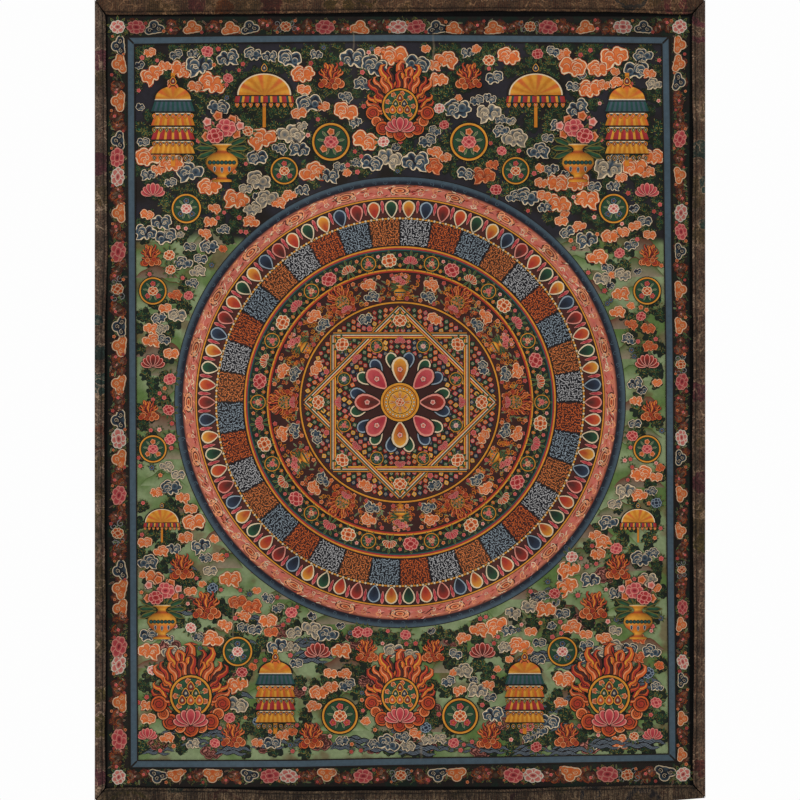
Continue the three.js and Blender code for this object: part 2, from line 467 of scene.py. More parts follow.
def bush(seed, dark, light, strokes, tufts=13):
    """A ragged dark mass of leaves with tufts of light strokes over it."""
    draw = np.random.default_rng(seed)
    far = draw.uniform(0.4, 0.72, (7, 1))
    lobes = np.concatenate([spokes(1, turns(7)) * far, draw.uniform(0.2, 0.34, (7, 1))], 1)
    lobes = np.concatenate([lobes, [(0, 0, 0.52)]])
    body = banded([lobed(lobes, inset, 22) for inset in (0, 0.1)], [(dark, dark), (dark, light)], (0, 0.1))
    angles = draw.uniform(0, TURN, tufts)
    spots = spokes(draw.uniform(0.05, 0.8, tufts), angles)
    return composed((body, (0, 0)), (tuft(strokes, 3, 1.7), spots, 0.36, draw.uniform(-1.4, 1.4, tufts)))


def drop(edge, body, deep, count=16):
    """A gem: a drop with a pointed top, a bright edge and a highlight."""
    angles = turns(count)
    pull = np.maximum(np.sin(angles), 0) ** 6
    outline = np.stack([np.cos(angles) * 0.72, np.sin(angles) * 0.72 + pull * 0.4 - 0.1], 1)
    rows = [outline * share for share in (1, 0.86, 0.7, 0.36)]
    return banded(rows, [(INK, INK), (edge, edge), (body, deep), (deep, CREAM)], (-0.08, 0.05))


def flame(names, count=9):
    """A tongue of fire: a line that sways, swells and curls over at its tip."""
    edge, body, deep = pigments(names)
    up = np.linspace(0, 1, count)
    heading = np.pi / 2 + 0.75 * np.sin(up * 5.6) + 2.3 * np.maximum(0, up - 0.62) / 0.38
    path = np.cumsum(spokes(2.2 / count, heading), axis=0) - (0, 1)
    width = 0.66 * (1 - up) ** 0.8 * (0.6 + 1.4 * up) + 0.02
    return ribbon(path, width, [(0.12, INK), (0.3, body), (0.16, edge), (0.3, deep), (0.12, INK)])


def coil(names):
    """A coil of fire: a disc with a spiral line on it."""
    edge, body, deep = pigments(names)
    disc = rings((1, 0.88, 0.74), (INK, edge, (body, deep)), 14)
    return composed((disc, (0, 0)), (curl(1.9, INK, 0.16, 14), (0, 0), 0.72))


def contoured(seed, line, body, wide, high, levels=4, count=26):
    """A rock or a bank of water: a lobed outline with pale contour lines inside it."""
    discs = cloud_lobes(seed, wide, high, 8)
    rows, bands = [lobed(discs, 0, count)], [(INK, INK)]
    for k in range(levels):
        inset, shrink = 0.04 + 0.13 * k, 1 - 0.1 * k
        rows += [lobed(discs, depth, count) * shrink for depth in (inset, inset + 0.035)]
        bands += [(line, line), (body, body * 0.8)]
    return banded(rows, bands, (0, 0))


def stream(count=14):
    """A stretch of water: a wavy navy stroke, tapered at both ends, with pale lines along it."""
    navy, pale = pigment("navy"), pigment("pale_blue", 0.7)
    share = np.linspace(-1, 1, count)
    path = np.stack([share, 0.07 * np.sin(share * 8) + 0.12 * np.cos(share * np.pi / 2)], 1)
    width = 0.3 * (1 - share**2) ** 0.6 + 0.01
    lines = [(0.14, navy), (0.08, pale)] * 3
    return ribbon(path, width, [(0.08, INK), *lines, (0.14, navy * 0.6), (0.08, INK)])


def hill(crest, top, foot, count=16):
    """A hill with a soft double crest, deep green along its ridge and fading to its foot."""
    share = np.linspace(-1, 1, count)
    ridge = np.cos(share * np.pi / 2) ** 0.9 * (1 + 0.12 * np.cos(share * 9 + 1.2))
    rows = [np.stack([share, ridge * high], 1) for high in (0, 0.5, 0.94, 1)]
    return banded(rows, [(foot, (top + foot) / 2), ((top + foot) / 2, top), (crest, crest)])


def panel(low, high, rows):
    """A panel of level stripes, from its foot at -1 to its head at 1: shares of height and colours,
    and how wide it is below and above."""
    cuts = np.cumsum([0] + [share for share, _ in rows])
    cuts = cuts / cuts[-1]
    lines = []
    for cut in cuts:
        half = (low + (high - low) * cut) / 2
        lines.append(np.array([(-half, 2 * cut - 1), (half, 2 * cut - 1)]))
    return banded(lines, [(colour, colour) for _, colour in rows])


def striped(low, high, colours, count, bend=0.0):
    """A panel of upright stripes, with an ink line below it and above it."""
    share = np.repeat(np.linspace(-1, 1, count + 1), 2)[1:-1]
    paint = np.repeat(np.array((colours * count)[:count]), 2, axis=0)
    foot = np.stack([share * low / 2, -1 + bend * share**2], 1)
    head = np.stack([share * high / 2, 1 + 0 * share], 1)
    rows = [foot, foot * 0.9 + head * 0.1, foot * 0.1 + head * 0.9, head]
    return banded(rows, [(INK, INK), (paint * 0.8, paint), (INK, INK)])


# Stock of motifs

CLOUD_PAINTS = dict(
    orange="rust cream orange amber orange",
    navy="ink cream slate navy ink",
    grey="ink cream dun slate navy",
    ember="maroon peach rust orange maroon",
)
CLOUDS = {name: [cloud(seed, paint) for seed in (1, 2, 3, 4)] for name, paint in CLOUD_PAINTS.items()}
PUFFS = {
    name: [cloud(seed, paint, 0.52, 0.42, 6, 22, 3, 1) for seed in (6, 8, 10)]
    for name, paint in CLOUD_PAINTS.items()
}
TREFOILS = {name: trefoil(CLOUD_PAINTS[name]) for name in ("orange", "navy")}
PEONY_PAINTS = dict(
    pink="blush pink rose gold",
    rose="blush rose red gold",
    orange="cream orange rust gold",
    cream="white blush pink ochre",
    blue="pale_blue indigo navy gold",
)
PEONIES = {name: [peony(paint, seed) for seed in range(3)] for name, paint in PEONY_PAINTS.items()}
BUDS = {name: bud(paint) for name, paint in PEONY_PAINTS.items()}
GREEN_LEAF = leaf(pigment("olive"), LEAF, PINE)
PALE_LEAF = leaf(pigment("dun"), pigment("meadow"), LEAF)
BROWN_LEAF = leaf(pigment("dun", 0.7), pigment("brown"), pigment("maroon"))
SPRAY = composed(*fan(GREEN_LEAF, 6, 3.8, 0.55, 0.5))
WREATH = composed(*fan(GREEN_LEAF, 9, 5.58, 0.6, 0.44))
BLADES = [
    [pigment("olive"), LEAF * 1.2, pigment("olive", 1.4)],
    [pigment("meadow", 0.5), LEAF, pigment("olive", 0.7)],
]
BUSHES = [bush(seed, PINE * 0.5, LEAF * 0.22, BLADES[seed % 2]) for seed in range(4)]
SHADES = [bush(seed, INK, pigment("plum", 0.6), BLADES[seed % 2]) for seed in range(3)]
RUST_BLADES = [pigment("rust", 0.6), OCHRE * 0.4, pigment("brown")]
RUST_BUSH = bush(5, pigment("maroon", 0.6), pigment("brown", 0.7), RUST_BLADES)
MIST = rings((1, 0.7), (pigment("brown", 0.5), (pigment("brown", 0.7), pigment("dun", 0.3))), 12)
ARCH = curl(0.55, pigment("orange", 0.8), 0.13, 8)
SCROLL = curl(1.2, pigment("fog", 0.6), 0.26, 10)
PETALS = dict(
    pink=petal("blush pink rose"),
    green=petal("cream leaf pine"),
    blue=petal("pale_blue indigo navy"),
    red=petal("blush red maroon"),
    gold=petal("cream gold rust"),
    orange=petal("cream orange red"),
)
GEMS = [drop(GOLD, *pigments(names)) for names in ("indigo navy", "red maroon", "leaf pine", "orange rust")]
FLAMES = [flame("peach orange rust"), flame("orange red maroon"), flame("gold orange red")]
COILS = [coil("orange rust red"), coil("peach orange rust")]
PEARL = rings((1, 0.72), (INK, (CREAM * 0.8, CREAM)), 8, (-0.15, 0.2))
ROCK = contoured(11, pigment("blush", 0.6), pigment("maroon"), 0.62, 0.4)
STREAM = stream()
BANK = composed(
    (STREAM, (0, 0.16), (0.8, 0.8)),
    (STREAM, (0.05, 0), 1.0, 0.04, -1),
    (STREAM, (-0.08, -0.18), (0.86, 0.8), -0.05),
)


def blaze(count, spread, reach, size):
    """Parts for tongues of fire round (0, 0): they lean upwards, long and short by turns."""
    for k, angle in enumerate(np.linspace(-spread / 2, spread / 2, count)):
        tongue = size * (1 + 0.35 * math.cos(angle)) * (1.15 if k % 2 else 0.85)
        at = (-reach * math.sin(angle), reach * math.cos(angle) + 0.4 * tongue * abs(math.sin(angle)))
        yield (FLAMES[k % 3], at, (tongue, tongue), angle * 0.7, 1 if angle < 0 else -1)


def coils(reach, first, last, count, size):
    """Parts for coils of fire along an arc below (0, 0)."""
    for k, angle in enumerate(np.linspace(first, last, count)):
        at = (reach * math.cos(angle), reach * math.sin(angle))
        yield (COILS[k % 2], at, size * (1.15 - 0.3 * (k % 2)), angle)


def make_lotus(names):
    """A lotus seen from the side, its middle petals in front, over a few green ones."""
    parts = list(fan(PETALS["green"], 4, 2.9, 0.42, (0.42, 0.4)))
    for lean in (-1.3, 1.3, -0.9, 0.9, -0.45, 0.45, 0):
        parts.append((PETALS[names], (-0.46 * math.sin(lean), 0.46 * math.cos(lean)), (0.52, 0.52), lean))
    return composed(*parts)


LOTUS = {name: make_lotus(name) for name in ("pink", "orange", "red")}


def make_roundel(paint, other):
    """A roundel: a gold ring round a green ground, with a wreath of leaves, three buds and a peony."""
    ring = rings((1, 0.94, 0.84, 0.79), (INK, (GOLD, OCHRE), INK, (LEAF * 0.7, PINE)), 30)
    sides = [(-0.36, -0.34), (0.36, -0.34), (0, 0.5)]
    return composed(
        (ring, (0, 0)),
        *fan(PALE_LEAF, 9, 5.6, 0.46, 0.24),
        (BUDS[other], sides, 0.24),
        (PEONIES[paint][0], (0, 0), 0.38),
    )


def make_jewel():
    """Gems heaped on a lotus in a ring of fire, with coils of fire at its foot."""
    aura = rings((0.86, 0.81, 0.73, 0.69), (INK, (GOLD, OCHRE), INK, (LEAF, PINE)), 24)
    nine = turns(9)
    parts = [*blaze(17, 4.4, 0.84, 0.36), *coils(0.84, -2.9, -0.24, 9, 0.2), *blaze(13, 4.2, 0.62, 0.3)]
    parts += [(aura, (0, 0), 0.66), (BUDS["orange"], spokes(0.39, nine), 0.1)]
    parts += [(PALE_LEAF, spokes(0.27, nine), 0.12, nine - np.pi / 2)]
    heap = ((0, 0.24, 1), (-0.13, 0.07, 2), (0.13, 0.07, 0))
    heap += ((-0.22, -0.11, 3), (0.22, -0.11, 1), (0, -0.11, 3))
    parts += [(GEMS[gem], (x, z), 0.17) for x, z, gem in heap]
    return composed(*parts, (LOTUS["pink"], (0, -0.74), (0.5, 0.44)))


def make_fire(seed):
    """A cloud of fire: curling tongues over a heap of coils."""
    draw = np.random.default_rng(seed)
    parts = [*blaze(11, 4.0, 0.62, 0.34), *blaze(9, 3.6, 0.36, 0.34)]
    spots = np.stack([np.linspace(-0.62, 0.62, 8), draw.uniform(-0.5, -0.1, 8)], 1)[draw.permutation(8)]
    parts += [(COILS[k % 2], spot, 0.25 * draw.uniform(0.8, 1.3), spot[0]) for k, spot in enumerate(spots)]
    return composed(*parts)


def vessel(profile):
    """A turned body seen from the side: rows of a height, half a width and a pigment, lowest first.
    It is lightest left of the middle and ends in ink on both sides."""
    across = np.array([-1, -0.92, -0.5, 0, 0.5, 0.92, 1])
    light = np.array([0, 0.75, 1.1, 0.95, 0.7, 0.45, 0])[:, None]
    rows = [np.stack([across * half, 0 * across + z], 1) for z, half, _ in profile]
    shades = [pigment(name) * light + INK * (light == 0) for _, _, name in profile]
    return banded(rows, list(zip(shades, shades[1:])))


def make_vase():
    """A vase with a round belly and a band of gems, and flowers and leaves that rise out of it."""
    profile = ((-1, 0.3, "gold"), (-0.94, 0.3, "ochre"), (-0.9, 0.16, "rust"), (-0.82, 0.13, "gold"))
    profile += ((-0.74, 0.24, "ochre"), (-0.6, 0.42, "orange"), (-0.45, 0.5, "gold"), (-0.3, 0.47, "gold"))
    profile += ((-0.18, 0.34, "ochre"), (-0.1, 0.16, "rust"), (-0.02, 0.13, "gold"), (0.06, 0.2, "ochre"))
    profile += ((0.1, 0.3, "gold"), (0.14, 0.3, "cream"))
    belt = np.stack([np.linspace(-0.36, 0.36, 7), np.full(7, -0.42)], 1)
    return composed(
        *fan(GREEN_LEAF, 11, 3.9, 0.5, 0.32),
        (vessel(profile), (0, 0)),
        (rings((1, 0.7), (INK, pigment("teal")), 8), belt, 0.07),
        (petal("cream slate indigo"), [(-0.22, -0.62), (0, -0.64), (0.22, -0.62)], 0.1),
        (BUDS["orange"], [(-0.42, 0.44), (0.46, 0.36), (0.12, 0.98), (-0.3, 0.86)], 0.19),
        (BUDS["cream"], [(-0.54, 0.68), (0.44, 0.8)], 0.17),
        (PEONIES["pink"][1], (-0.12, 0.62), 0.32),
        (PEONIES["rose"][2], (0.2, 0.38), 0.27),
    )


def make_banner():
    """A banner of round skirts, each with a hem of gems, under a dome and a flaming gem."""
    red, orange, teal, blue, rose = pigments("red orange teal slate rose")
    parts = [(panel(0.09, 0.09, [(1, OCHRE)]), (0, 0), (1, 1))]
    paints = ([GOLD, OCHRE], [red, rose, GOLD], [OCHRE, orange, GOLD], [teal, blue])
    for k, z in enumerate((-0.62, -0.32, -0.02, 0.28)):
        hem = np.stack([np.linspace(-0.4, 0.4, 7), np.full(7, z - 0.2)], 1)
        parts.append((GEMS[k % 4], hem, 0.07, math.pi))
        parts.append((striped(1.06, 0.86, paints[k], 17), (0, z), (0.9, 0.13)))
        belt = panel(0.9, 0.84, [(0.2, INK), (0.4, blue), (0.4, CREAM), (0.2, INK)])
        parts.append((belt, (0, z + 0.14), (0.9, 0.03)))
    share = np.linspace(0, np.pi, 22)
    dome = np.stack([np.cos(share), np.sin(share)], 1)
    paint = np.array([(OCHRE, GOLD, orange)[k // 2 % 3] for k in range(22)])
    cap = banded([dome, dome * 0.9], [(INK, INK), (paint, paint * 0.8)], (0, 0))
    parts.append((cap, (0, 0.44), (0.42, 0.3)))
    parts.append((FLAMES[0], [(-0.1, 0.8), (0.1, 0.8)], 0.16, 0, (-1, 1)))
    return composed(*parts, (GEMS[1], (0, 0.82), 0.12))


def make_parasol():
    """A parasol: a striped dome over a pleated valance with a hem of gems, on a pole."""
    orange, red, teal, rose = pigments("orange red teal rose")
    share = np.linspace(0, np.pi, 29)
    dome = np.stack([np.cos(share), 0.8 * np.sin(share)], 1)
    paint = np.array([(OCHRE, GOLD, orange, GOLD)[k // 2 % 4] for k in range(29)])
    hem = np.stack([np.linspace(-0.84, 0.84, 9), np.full(9, -0.3)], 1)
    rows = [dome, dome * 0.93, dome * 0.88]
    cap = banded(rows, [(INK, INK), (CREAM, CREAM), (paint, paint * 0.7)], (0, 0))
    return composed(
        (panel(0.1, 0.1, [(1, OCHRE)]), (0, -0.5), (1, 0.5)),
        (GEMS[3], hem, 0.1, math.pi),
        (striped(1.86, 1.76, [red, GOLD, teal, rose], 25), (0, -0.13), (1, 0.12)),
        (cap, (0, 0), 0.9),
        (GEMS[0], (0, 0.84), 0.16),
    )


STOCK = dict(
    roundel=make_roundel("pink", "orange"),
    other_roundel=make_roundel("orange", "rose"),
    pale_roundel=make_roundel("cream", "blue"),
    jewel=make_jewel(),
    fire=make_fire(1),
    other_fire=make_fire(2),
    vase=make_vase(),
    banner=make_banner(),
    parasol=make_parasol(),
    lotus=LOTUS["pink"],
    red_lotus=LOTUS["red"],
)

# How far each film lies above the cloth.
LEVEL = dict(
    hill=0.03, water=0.16, ring=0.18, bush=0.2, cloud=0.36, leaf=0.5, bloom=0.64, accent=0.7, line=0.85,
)


# The field

# Discs that are already filled, as x, z and a radius.
taken = [(*MEDALLION, RADIUS)]

# Large motifs, listed one by one: what it is, how far from the middle it stands, its height and its size.
ACCENTS = (
    ("jewel", 0, -96, 30), ("banner", 204, -108, 42), ("parasol", 122, -86, 29), ("roundel", 62, -128, 18),
    ("vase", 160, -134, 30), ("other_roundel", 104, -154, 13), ("lotus", 222, -176, 12),
    ("fire", 62, -72, 14), ("pale_roundel", 192, -188, 14), ("other_roundel", 222, -262, 13),
    ("red_lotus", 222, -330, 12), ("other_fire", 224, -232, 11), ("fire", 226, -372, 11),
    ("roundel", 222, -404, 13), ("parasol", 214, -470, 18), ("vase", 214, -548, 27),
    ("jewel", 188, -626, 35), ("pale_roundel", 146, -586, 14), ("banner", 112, -622, 38),
    ("red_lotus", 74, -590, 13), ("fire", 174, -548, 15), ("jewel", 0, -626, 31),
    ("other_roundel", 54, -644, 17), ("lotus", 227, -664, 10), ("other_fire", 80, -664, 13),
    ("fire", 30, -588, 12), ("other_fire", 196, -512, 13), ("fire", 150, -664, 13),
)


def place_accents():
    """Each large motif and its mirror image beyond the middle. The discs that they fill are taken."""
    for name, x, z, size in ACCENTS:
        sides = [(x, z), (-x, z)] if x else [(x, z)]
        flip, tint = (1, -1)[: len(sides)], jitter(len(sides), 0.05)
        film("accents").add(STOCK[name], sides, size, 0, flip, LEVEL["accent"], tint)
        reach = size * (0.62 if name in ("banner", "vase") else 0.95)
        taken.extend((side, z, reach) for side, _ in sides)


def thrown(tries, radius, room, keep=True, low=-1e9, high=1e9, apart=1.0):
    """Places in the field thrown at random. Each is kept where no taken disc is near, and an earlier
    place stays its radius times apart away. The places are then taken, unless keep is False."""
    low, high = max(FIELD["bottom"], low) + room, min(FIELD["top"], high) - room
    across = rng.uniform(FIELD["left"] + room, FIELD["right"] - room, tries)
    have = np.array(taken)
    found = []
    for place in np.stack([across, rng.uniform(low, high, tries)], 1):
        if (np.hypot(have[:, 0] - place[0], have[:, 1] - place[1]) > have[:, 2] + radius).all():
            found.append(place)
            have = np.vstack([have, [*place, radius * (2 * apart - 1)]])
    if keep:
        taken.extend((x, z, radius * (2 * apart - 1)) for x, z in found)
    return np.array(found).reshape(-1, 2)


def stacked(places, reach):
    """The level of each of some shapes, so that those that overlap lie on one another."""
    levels = np.zeros(len(places))
    for i in range(1, len(places)):
        near = np.abs(places[:i] - places[i]).max(1) < (reach[:i] + reach[i])
        if near.any():
            levels[i] = levels[:i][near].max() + 1
    return levels


def place_hills():
    """Hills in rows, each row in front of the one above it."""
    meadow, sage, brown, dun = pigments("meadow sage brown dun")
    shapes = (
        hill(meadow * 0.5, meadow * 0.8, sage * 0.9),
        hill(brown * 0.8, meadow * 0.5, dun * 0.9),
        hill(brown, brown * 1.1, dun * 0.7),
    )
    rows, count = 19, 9
    for row in range(rows):
        x = np.linspace(FIELD["left"] + 28, FIELD["right"] - 28, count) + rng.uniform(-13, 13, count)
        wide = rng.uniform(15, 27, count)
        x = x.clip(FIELD["left"] + wide, FIELD["right"] - wide)
        z = np.maximum(-222 - row * 24 + rng.uniform(-6, 6, count), FIELD["bottom"])
        size = np.stack([wide, rng.uniform(11, 17, count)], 1)
        places = np.stack([x, z], 1)
        for k, shape in enumerate(shapes):
            some = slice((k + row) % 3, None, 3)
            level = LEVEL["hill"] + 0.006 * row
            film("hills").add(shape, places[some], size[some], lift=level, tint=jitter(count // 3))


def place_water():
    """Navy banks of water and lobed rocks over them, on the lower hills and along the foot."""
    for shape, count, size in ((BANK, 44, 17), (ROCK, 30, 11)):
        places = np.stack([rng.uniform(-220, 220, count), rng.uniform(-672, -500, count)], 1)
        foot = np.stack([np.linspace(-218, 218, count // 3), rng.uniform(-677, -668, count // 3)], 1)
        places = np.concatenate([places, foot])
        far = np.linalg.norm(places - MEDALLION, axis=1) > RADIUS + size
        places = places[far]
        level = LEVEL["water"] + (0.04 if shape is ROCK else 0)
        lift = level + 0.02 * stacked(places, np.full(len(places), size))
        film("water").add(shape, places, size * jitter(len(places), 0.25), lift=lift)


def place_bushes():
    """Dark bushes under everything else: nearly everywhere in the sky, and in groves on the hills."""
    held = list(taken)
    taken[:] = held[:1]
    for high, low, apart in ((FIELD["top"], HORIZON, 0.6), (HORIZON, FIELD["bottom"], 0.58)):
        places = thrown(4000, 8.0, 2.0, False, low, high, apart)
        x, z = places.T
        grove = np.sin(x / 17 + 2 * np.sin(z / 29)) + np.sin(z / 13 + 1.6 * np.sin(x / 23 + 1))
        places = places[grove > (-0.75 if low < HORIZON else -1.35)]
        level = stacked(places, np.full(len(places), 8.0))
        for k in range(4):
            count = len(places[k::4])
            film("bushes").add(
                BUSHES[k], places[k::4], rng.uniform(7, 10, count), rng.normal(0, 0.3, count), 1,
                LEVEL["bush"] + 0.006 * level[k::4], jitter(count, 0.25),
            )
    taken[:] = held


def place_clouds():
    """Clouds in drifts of one colour, large ones first."""
    paints = ("orange", "navy", "orange", "navy", "orange", "grey", "navy", "ember", "orange", "navy")
    runs = ((700, 15.0, -200, 0.74), (1400, 12.0, -1e9, 0.72), (2600, 8.5, -1e9, 0.74))
    covered = []
    for tries, size, low, apart in runs:
        places = thrown(tries, size * 0.76, size * 0.74, True, low, 1e9, apart)
        level = stacked(places, np.full(len(places), size * 0.8))
        covered += [(x, z, size * 0.6) for x, z in places]
        for k, (x, z) in enumerate(places):
            drift = int(3 + 3 * math.sin(x / 31) + 3 * math.sin(z / 23 + 1)) + rng.integers(0, 3)
            shape = CLOUDS[paints[drift % len(paints)]][rng.integers(0, 4)]
            film("clouds").add(
                shape, (x, z), size * rng.uniform(0.85, 1.1), rng.normal(0, 0.2), rng.choice((-1, 1)),
                LEVEL["cloud"] + 0.07 * level[k], jitter(1),
            )
    places = thrown(500, 4.6, 4, True, apart=0.8)
    for k, (x, z) in enumerate(places):
        shape = PUFFS[paints[rng.integers(0, len(paints))]][k % 3]
        size, turn = rng.uniform(5, 6.6), rng.normal(0, 0.3)
        film("puffs").add(shape, (x, z), size, turn, 1, LEVEL["cloud"] + 0.02 * (k % 2), jitter(1))
    taken.extend(covered)


def place_blooms():
    """Peonies in wreaths of leaves, then buds and sprays where there is still room."""
    order = ("pink", "rose", "pink", "orange", "pink", "cream", "rose", "blue")
    for tries, size, kinds in ((1500, 5.4, PEONIES), (1800, 2.7, BUDS)):
        places = thrown(tries, size * 0.85, size * 0.9, True, apart=0.9)
        for k, paint in enumerate(order):
            some = places[k :: len(order)]
            count = len(some)
            wide = size * rng.uniform(0.85, 1.1, count)
            shape = kinds[paint][k % 3] if kinds is PEONIES else kinds[paint]
            leaves, turn = (WREATH if kinds is PEONIES else SPRAY), rng.uniform(-1, 1, count)
            film("wreaths").add(leaves, some, wide * 1.6, turn, 1, LEVEL["leaf"], jitter(count, 0.2))
            turn = rng.uniform(-0.5, 0.5, count)
            film("blooms").add(shape, some, wide, turn, 1, LEVEL["bloom"], jitter(count))


place_accents()
place_hills()
place_water()
place_clouds()
place_bushes()
place_blooms()


# The slate line and the flowered border


def paint_line():
    """The line round the field as one closed band with ink edges, mitred at its corners."""
    points = []
    for side in LINE_SIDES:
        at = np.array(side, float)
        along = np.linspace(0, len(at) - 1, 60)[:-1]
        points.append(np.stack([np.interp(along, np.arange(len(at)), at[:, k]) for k in range(2)], 1))
    path = np.concatenate(points)[::-1]
    ahead = np.roll(path, -1, 0) - path
    ahead /= np.linalg.norm(ahead, axis=1)[:, None]
    left = np.stack([-ahead[:, 1], ahead[:, 0]], 1)
    before = np.roll(left, 1, 0)
    left = (left + before) / (1 + (left * before).sum(1))[:, None]
    half = LINE_WIDTH / 2
    slate = pigment("slate", 1.08)
    cuts = (-half - LINE_EDGE, -half, 0, half, half + LINE_EDGE)
    bands = [(INK, INK), (slate * 0.9, slate), (slate, slate * 0.9), (INK, INK)]
    ring = banded([path + left * cut for cut in cuts], bands, tuple(path[0]))
    film("line", True).add(ring, (0, 0), lift=LEVEL["line"])
    for side in LINE_SIDES:
        x, z = side[0]
        slant = math.pi / 4 * (-1 if x * (z + 360) < 0 else 1)
        tick = ribbon(spokes(3.6, [slant, slant + np.pi]), 1.6, [(1, INK)])
        film("line_mitres").add(tick, (x, z), lift=LEVEL["line"] + 0.05)


def place_border():
    """Peonies, clouds and brown shrubs by turns, over a hedge of dark leaves."""
    corners = np.array(BORDER)
    order = "pink navy brown orange brown orange navy brown gold brown pink brown orange brown cream".split()
    step = 0
    for k, (wide_first, wide_last) in enumerate(BORDER_WIDE):
        dim, quarter = BORDER_DIM[k], k * np.pi / 2
        start, end = corners[k], corners[(k + 1) % 4]
        length = np.linalg.norm(end - start)
        ahead = (end - start) / length
        aside = np.array([-ahead[1], ahead[0]])
        count = round(length / 4.6)
        share = (np.arange(count + 1) / count)[:, None]
        wide = wide_first + (wide_last - wide_first) * share
        hedge = start + ahead * length * share + aside * (wide / 2 - 4.2) * rng.uniform(-1, 1, (count + 1, 1))
        for kind in range(4):
            some = hedge[kind::4]
            film("hedge").add(
                RUST_BUSH if kind == 3 else SHADES[kind], some, rng.uniform(4.8, 6, len(some)),
                any_turn(len(some)), 1, 0.03 + 0.02 * kind, 1.75 * dim * jitter(len(some), 0.25),
            )
        leaves = start + ahead * length * share + aside * (wide / 2 - 2) * rng.uniform(-1, 1, (count + 1, 1))
        for kind, shape in enumerate((GREEN_LEAF, PALE_LEAF, BROWN_LEAF)):
            some = leaves[kind::3]
            size, turn = rng.uniform(2, 3.2, len(some)), any_turn(len(some))
            tint = 1.3 * dim * jitter(len(some), 0.3)
            film("hedge").add(shape, some, size, turn, 1, 0.12 + 0.01 * kind, tint)
        count = round(length / 17)
        for i in range(1, count):
            at = start + ahead * (length * i / count + rng.uniform(-1.2, 1.2))
            at = at + aside * rng.uniform(-0.6, 0.6)
            wide = wide_first + (wide_last - wide_first) * i / count
            name = order[step % len(order)]
            step += 1 + (rng.uniform() < 0.2)
            turn = rng.uniform(-0.25, 0.25)
            size = wide / 2 * rng.uniform(0.9, 1)
            border = film("border")
            if name == "brown":
                spots = at + ahead * size * rng.uniform(-0.9, 0.9, (5, 1))
                spots = spots + aside * size * rng.uniform(-0.45, 0.45, (5, 1))
                level = 0.2 + 0.02 * np.arange(5)
                border.add(RUST_BUSH, spots, size * 0.66, any_turn(5), 1, level, 2 * dim * jitter(5, 0.3))
                border.add(MIST, at, size * 0.42, rng.uniform(0, 3), 1, 0.32, dim)
                border.add(BROWN_LEAF, spots, size * 0.3, any_turn(5), 1, 0.33)
                border.add(ARCH, spots[:2], size * 0.5, rng.uniform(-0.5, 0.5, 2) - quarter, 1, 0.34, dim)
                border.add(BUDS["pink"], spots[2], size * 0.22, 0, 1, 0.36)
                border.add(BUDS["cream"], spots[3], size * 0.13, 0, 1, 0.36, 0.8)
            elif name in ("navy", "orange"):
                foot = at - aside * 0.05 * wide
                wide_cloud = (size * 1.2, size * 1.06)
                border.add(TREFOILS[name], foot, wide_cloud, turn - quarter, 1, 0.26, 1.08 * dim)
            elif name == "gold":
                along, across = [[-1.0], [-0.7], [0.7], [1.0]], [[0.3], [-0.4], [0.4], [-0.3]]
                spots = at + size * (ahead * along + aside * across)
                border.add(SCROLL, spots, size * 0.4, any_turn(4), 1, 0.3, dim)
                border.add(PEONIES["orange"][step % 3], at, size * 0.7, turn, 1, 0.32, dim)
            else:
                lean = quarter + 0.1 * rng.uniform(-1, 1)
                border.add(WREATH, at, (size * 1.6, size), lean, 1, 0.14, 1.5 * dim)
                peony, wide_bloom = PEONIES[name][step % 3], (size * 1.14, size * 0.92)
                border.add(peony, at, wide_bloom, turn + quarter, 1, 0.3, dim * jitter(1))
            other = at + ahead * 8.5 + aside * rng.uniform(0.2, 0.34) * wide * (1 if i % 2 else -1)
            bud = BUDS[("orange", "rose", "orange")[i % 3]]
            border.add(bud, other, rng.uniform(1.6, 2.2), 0, 1, 0.42, 1.1 * dim * jitter(1))
        film("border").add(WREATH, start, 10, 0, 1, 0.3)
        film("border").add(PEONIES["cream"][k % 3], start, 7.2, 0.4 * k, 1, 0.46, 0.75)


paint_line()
place_border()


# The medallion


def around(radius, count, start=0.0):
    """Places round the medallion, and turns that point each of them outwards."""
    angles = start + turns(count)
    return spokes(radius, angles) + MEDALLION, angles - np.pi / 2


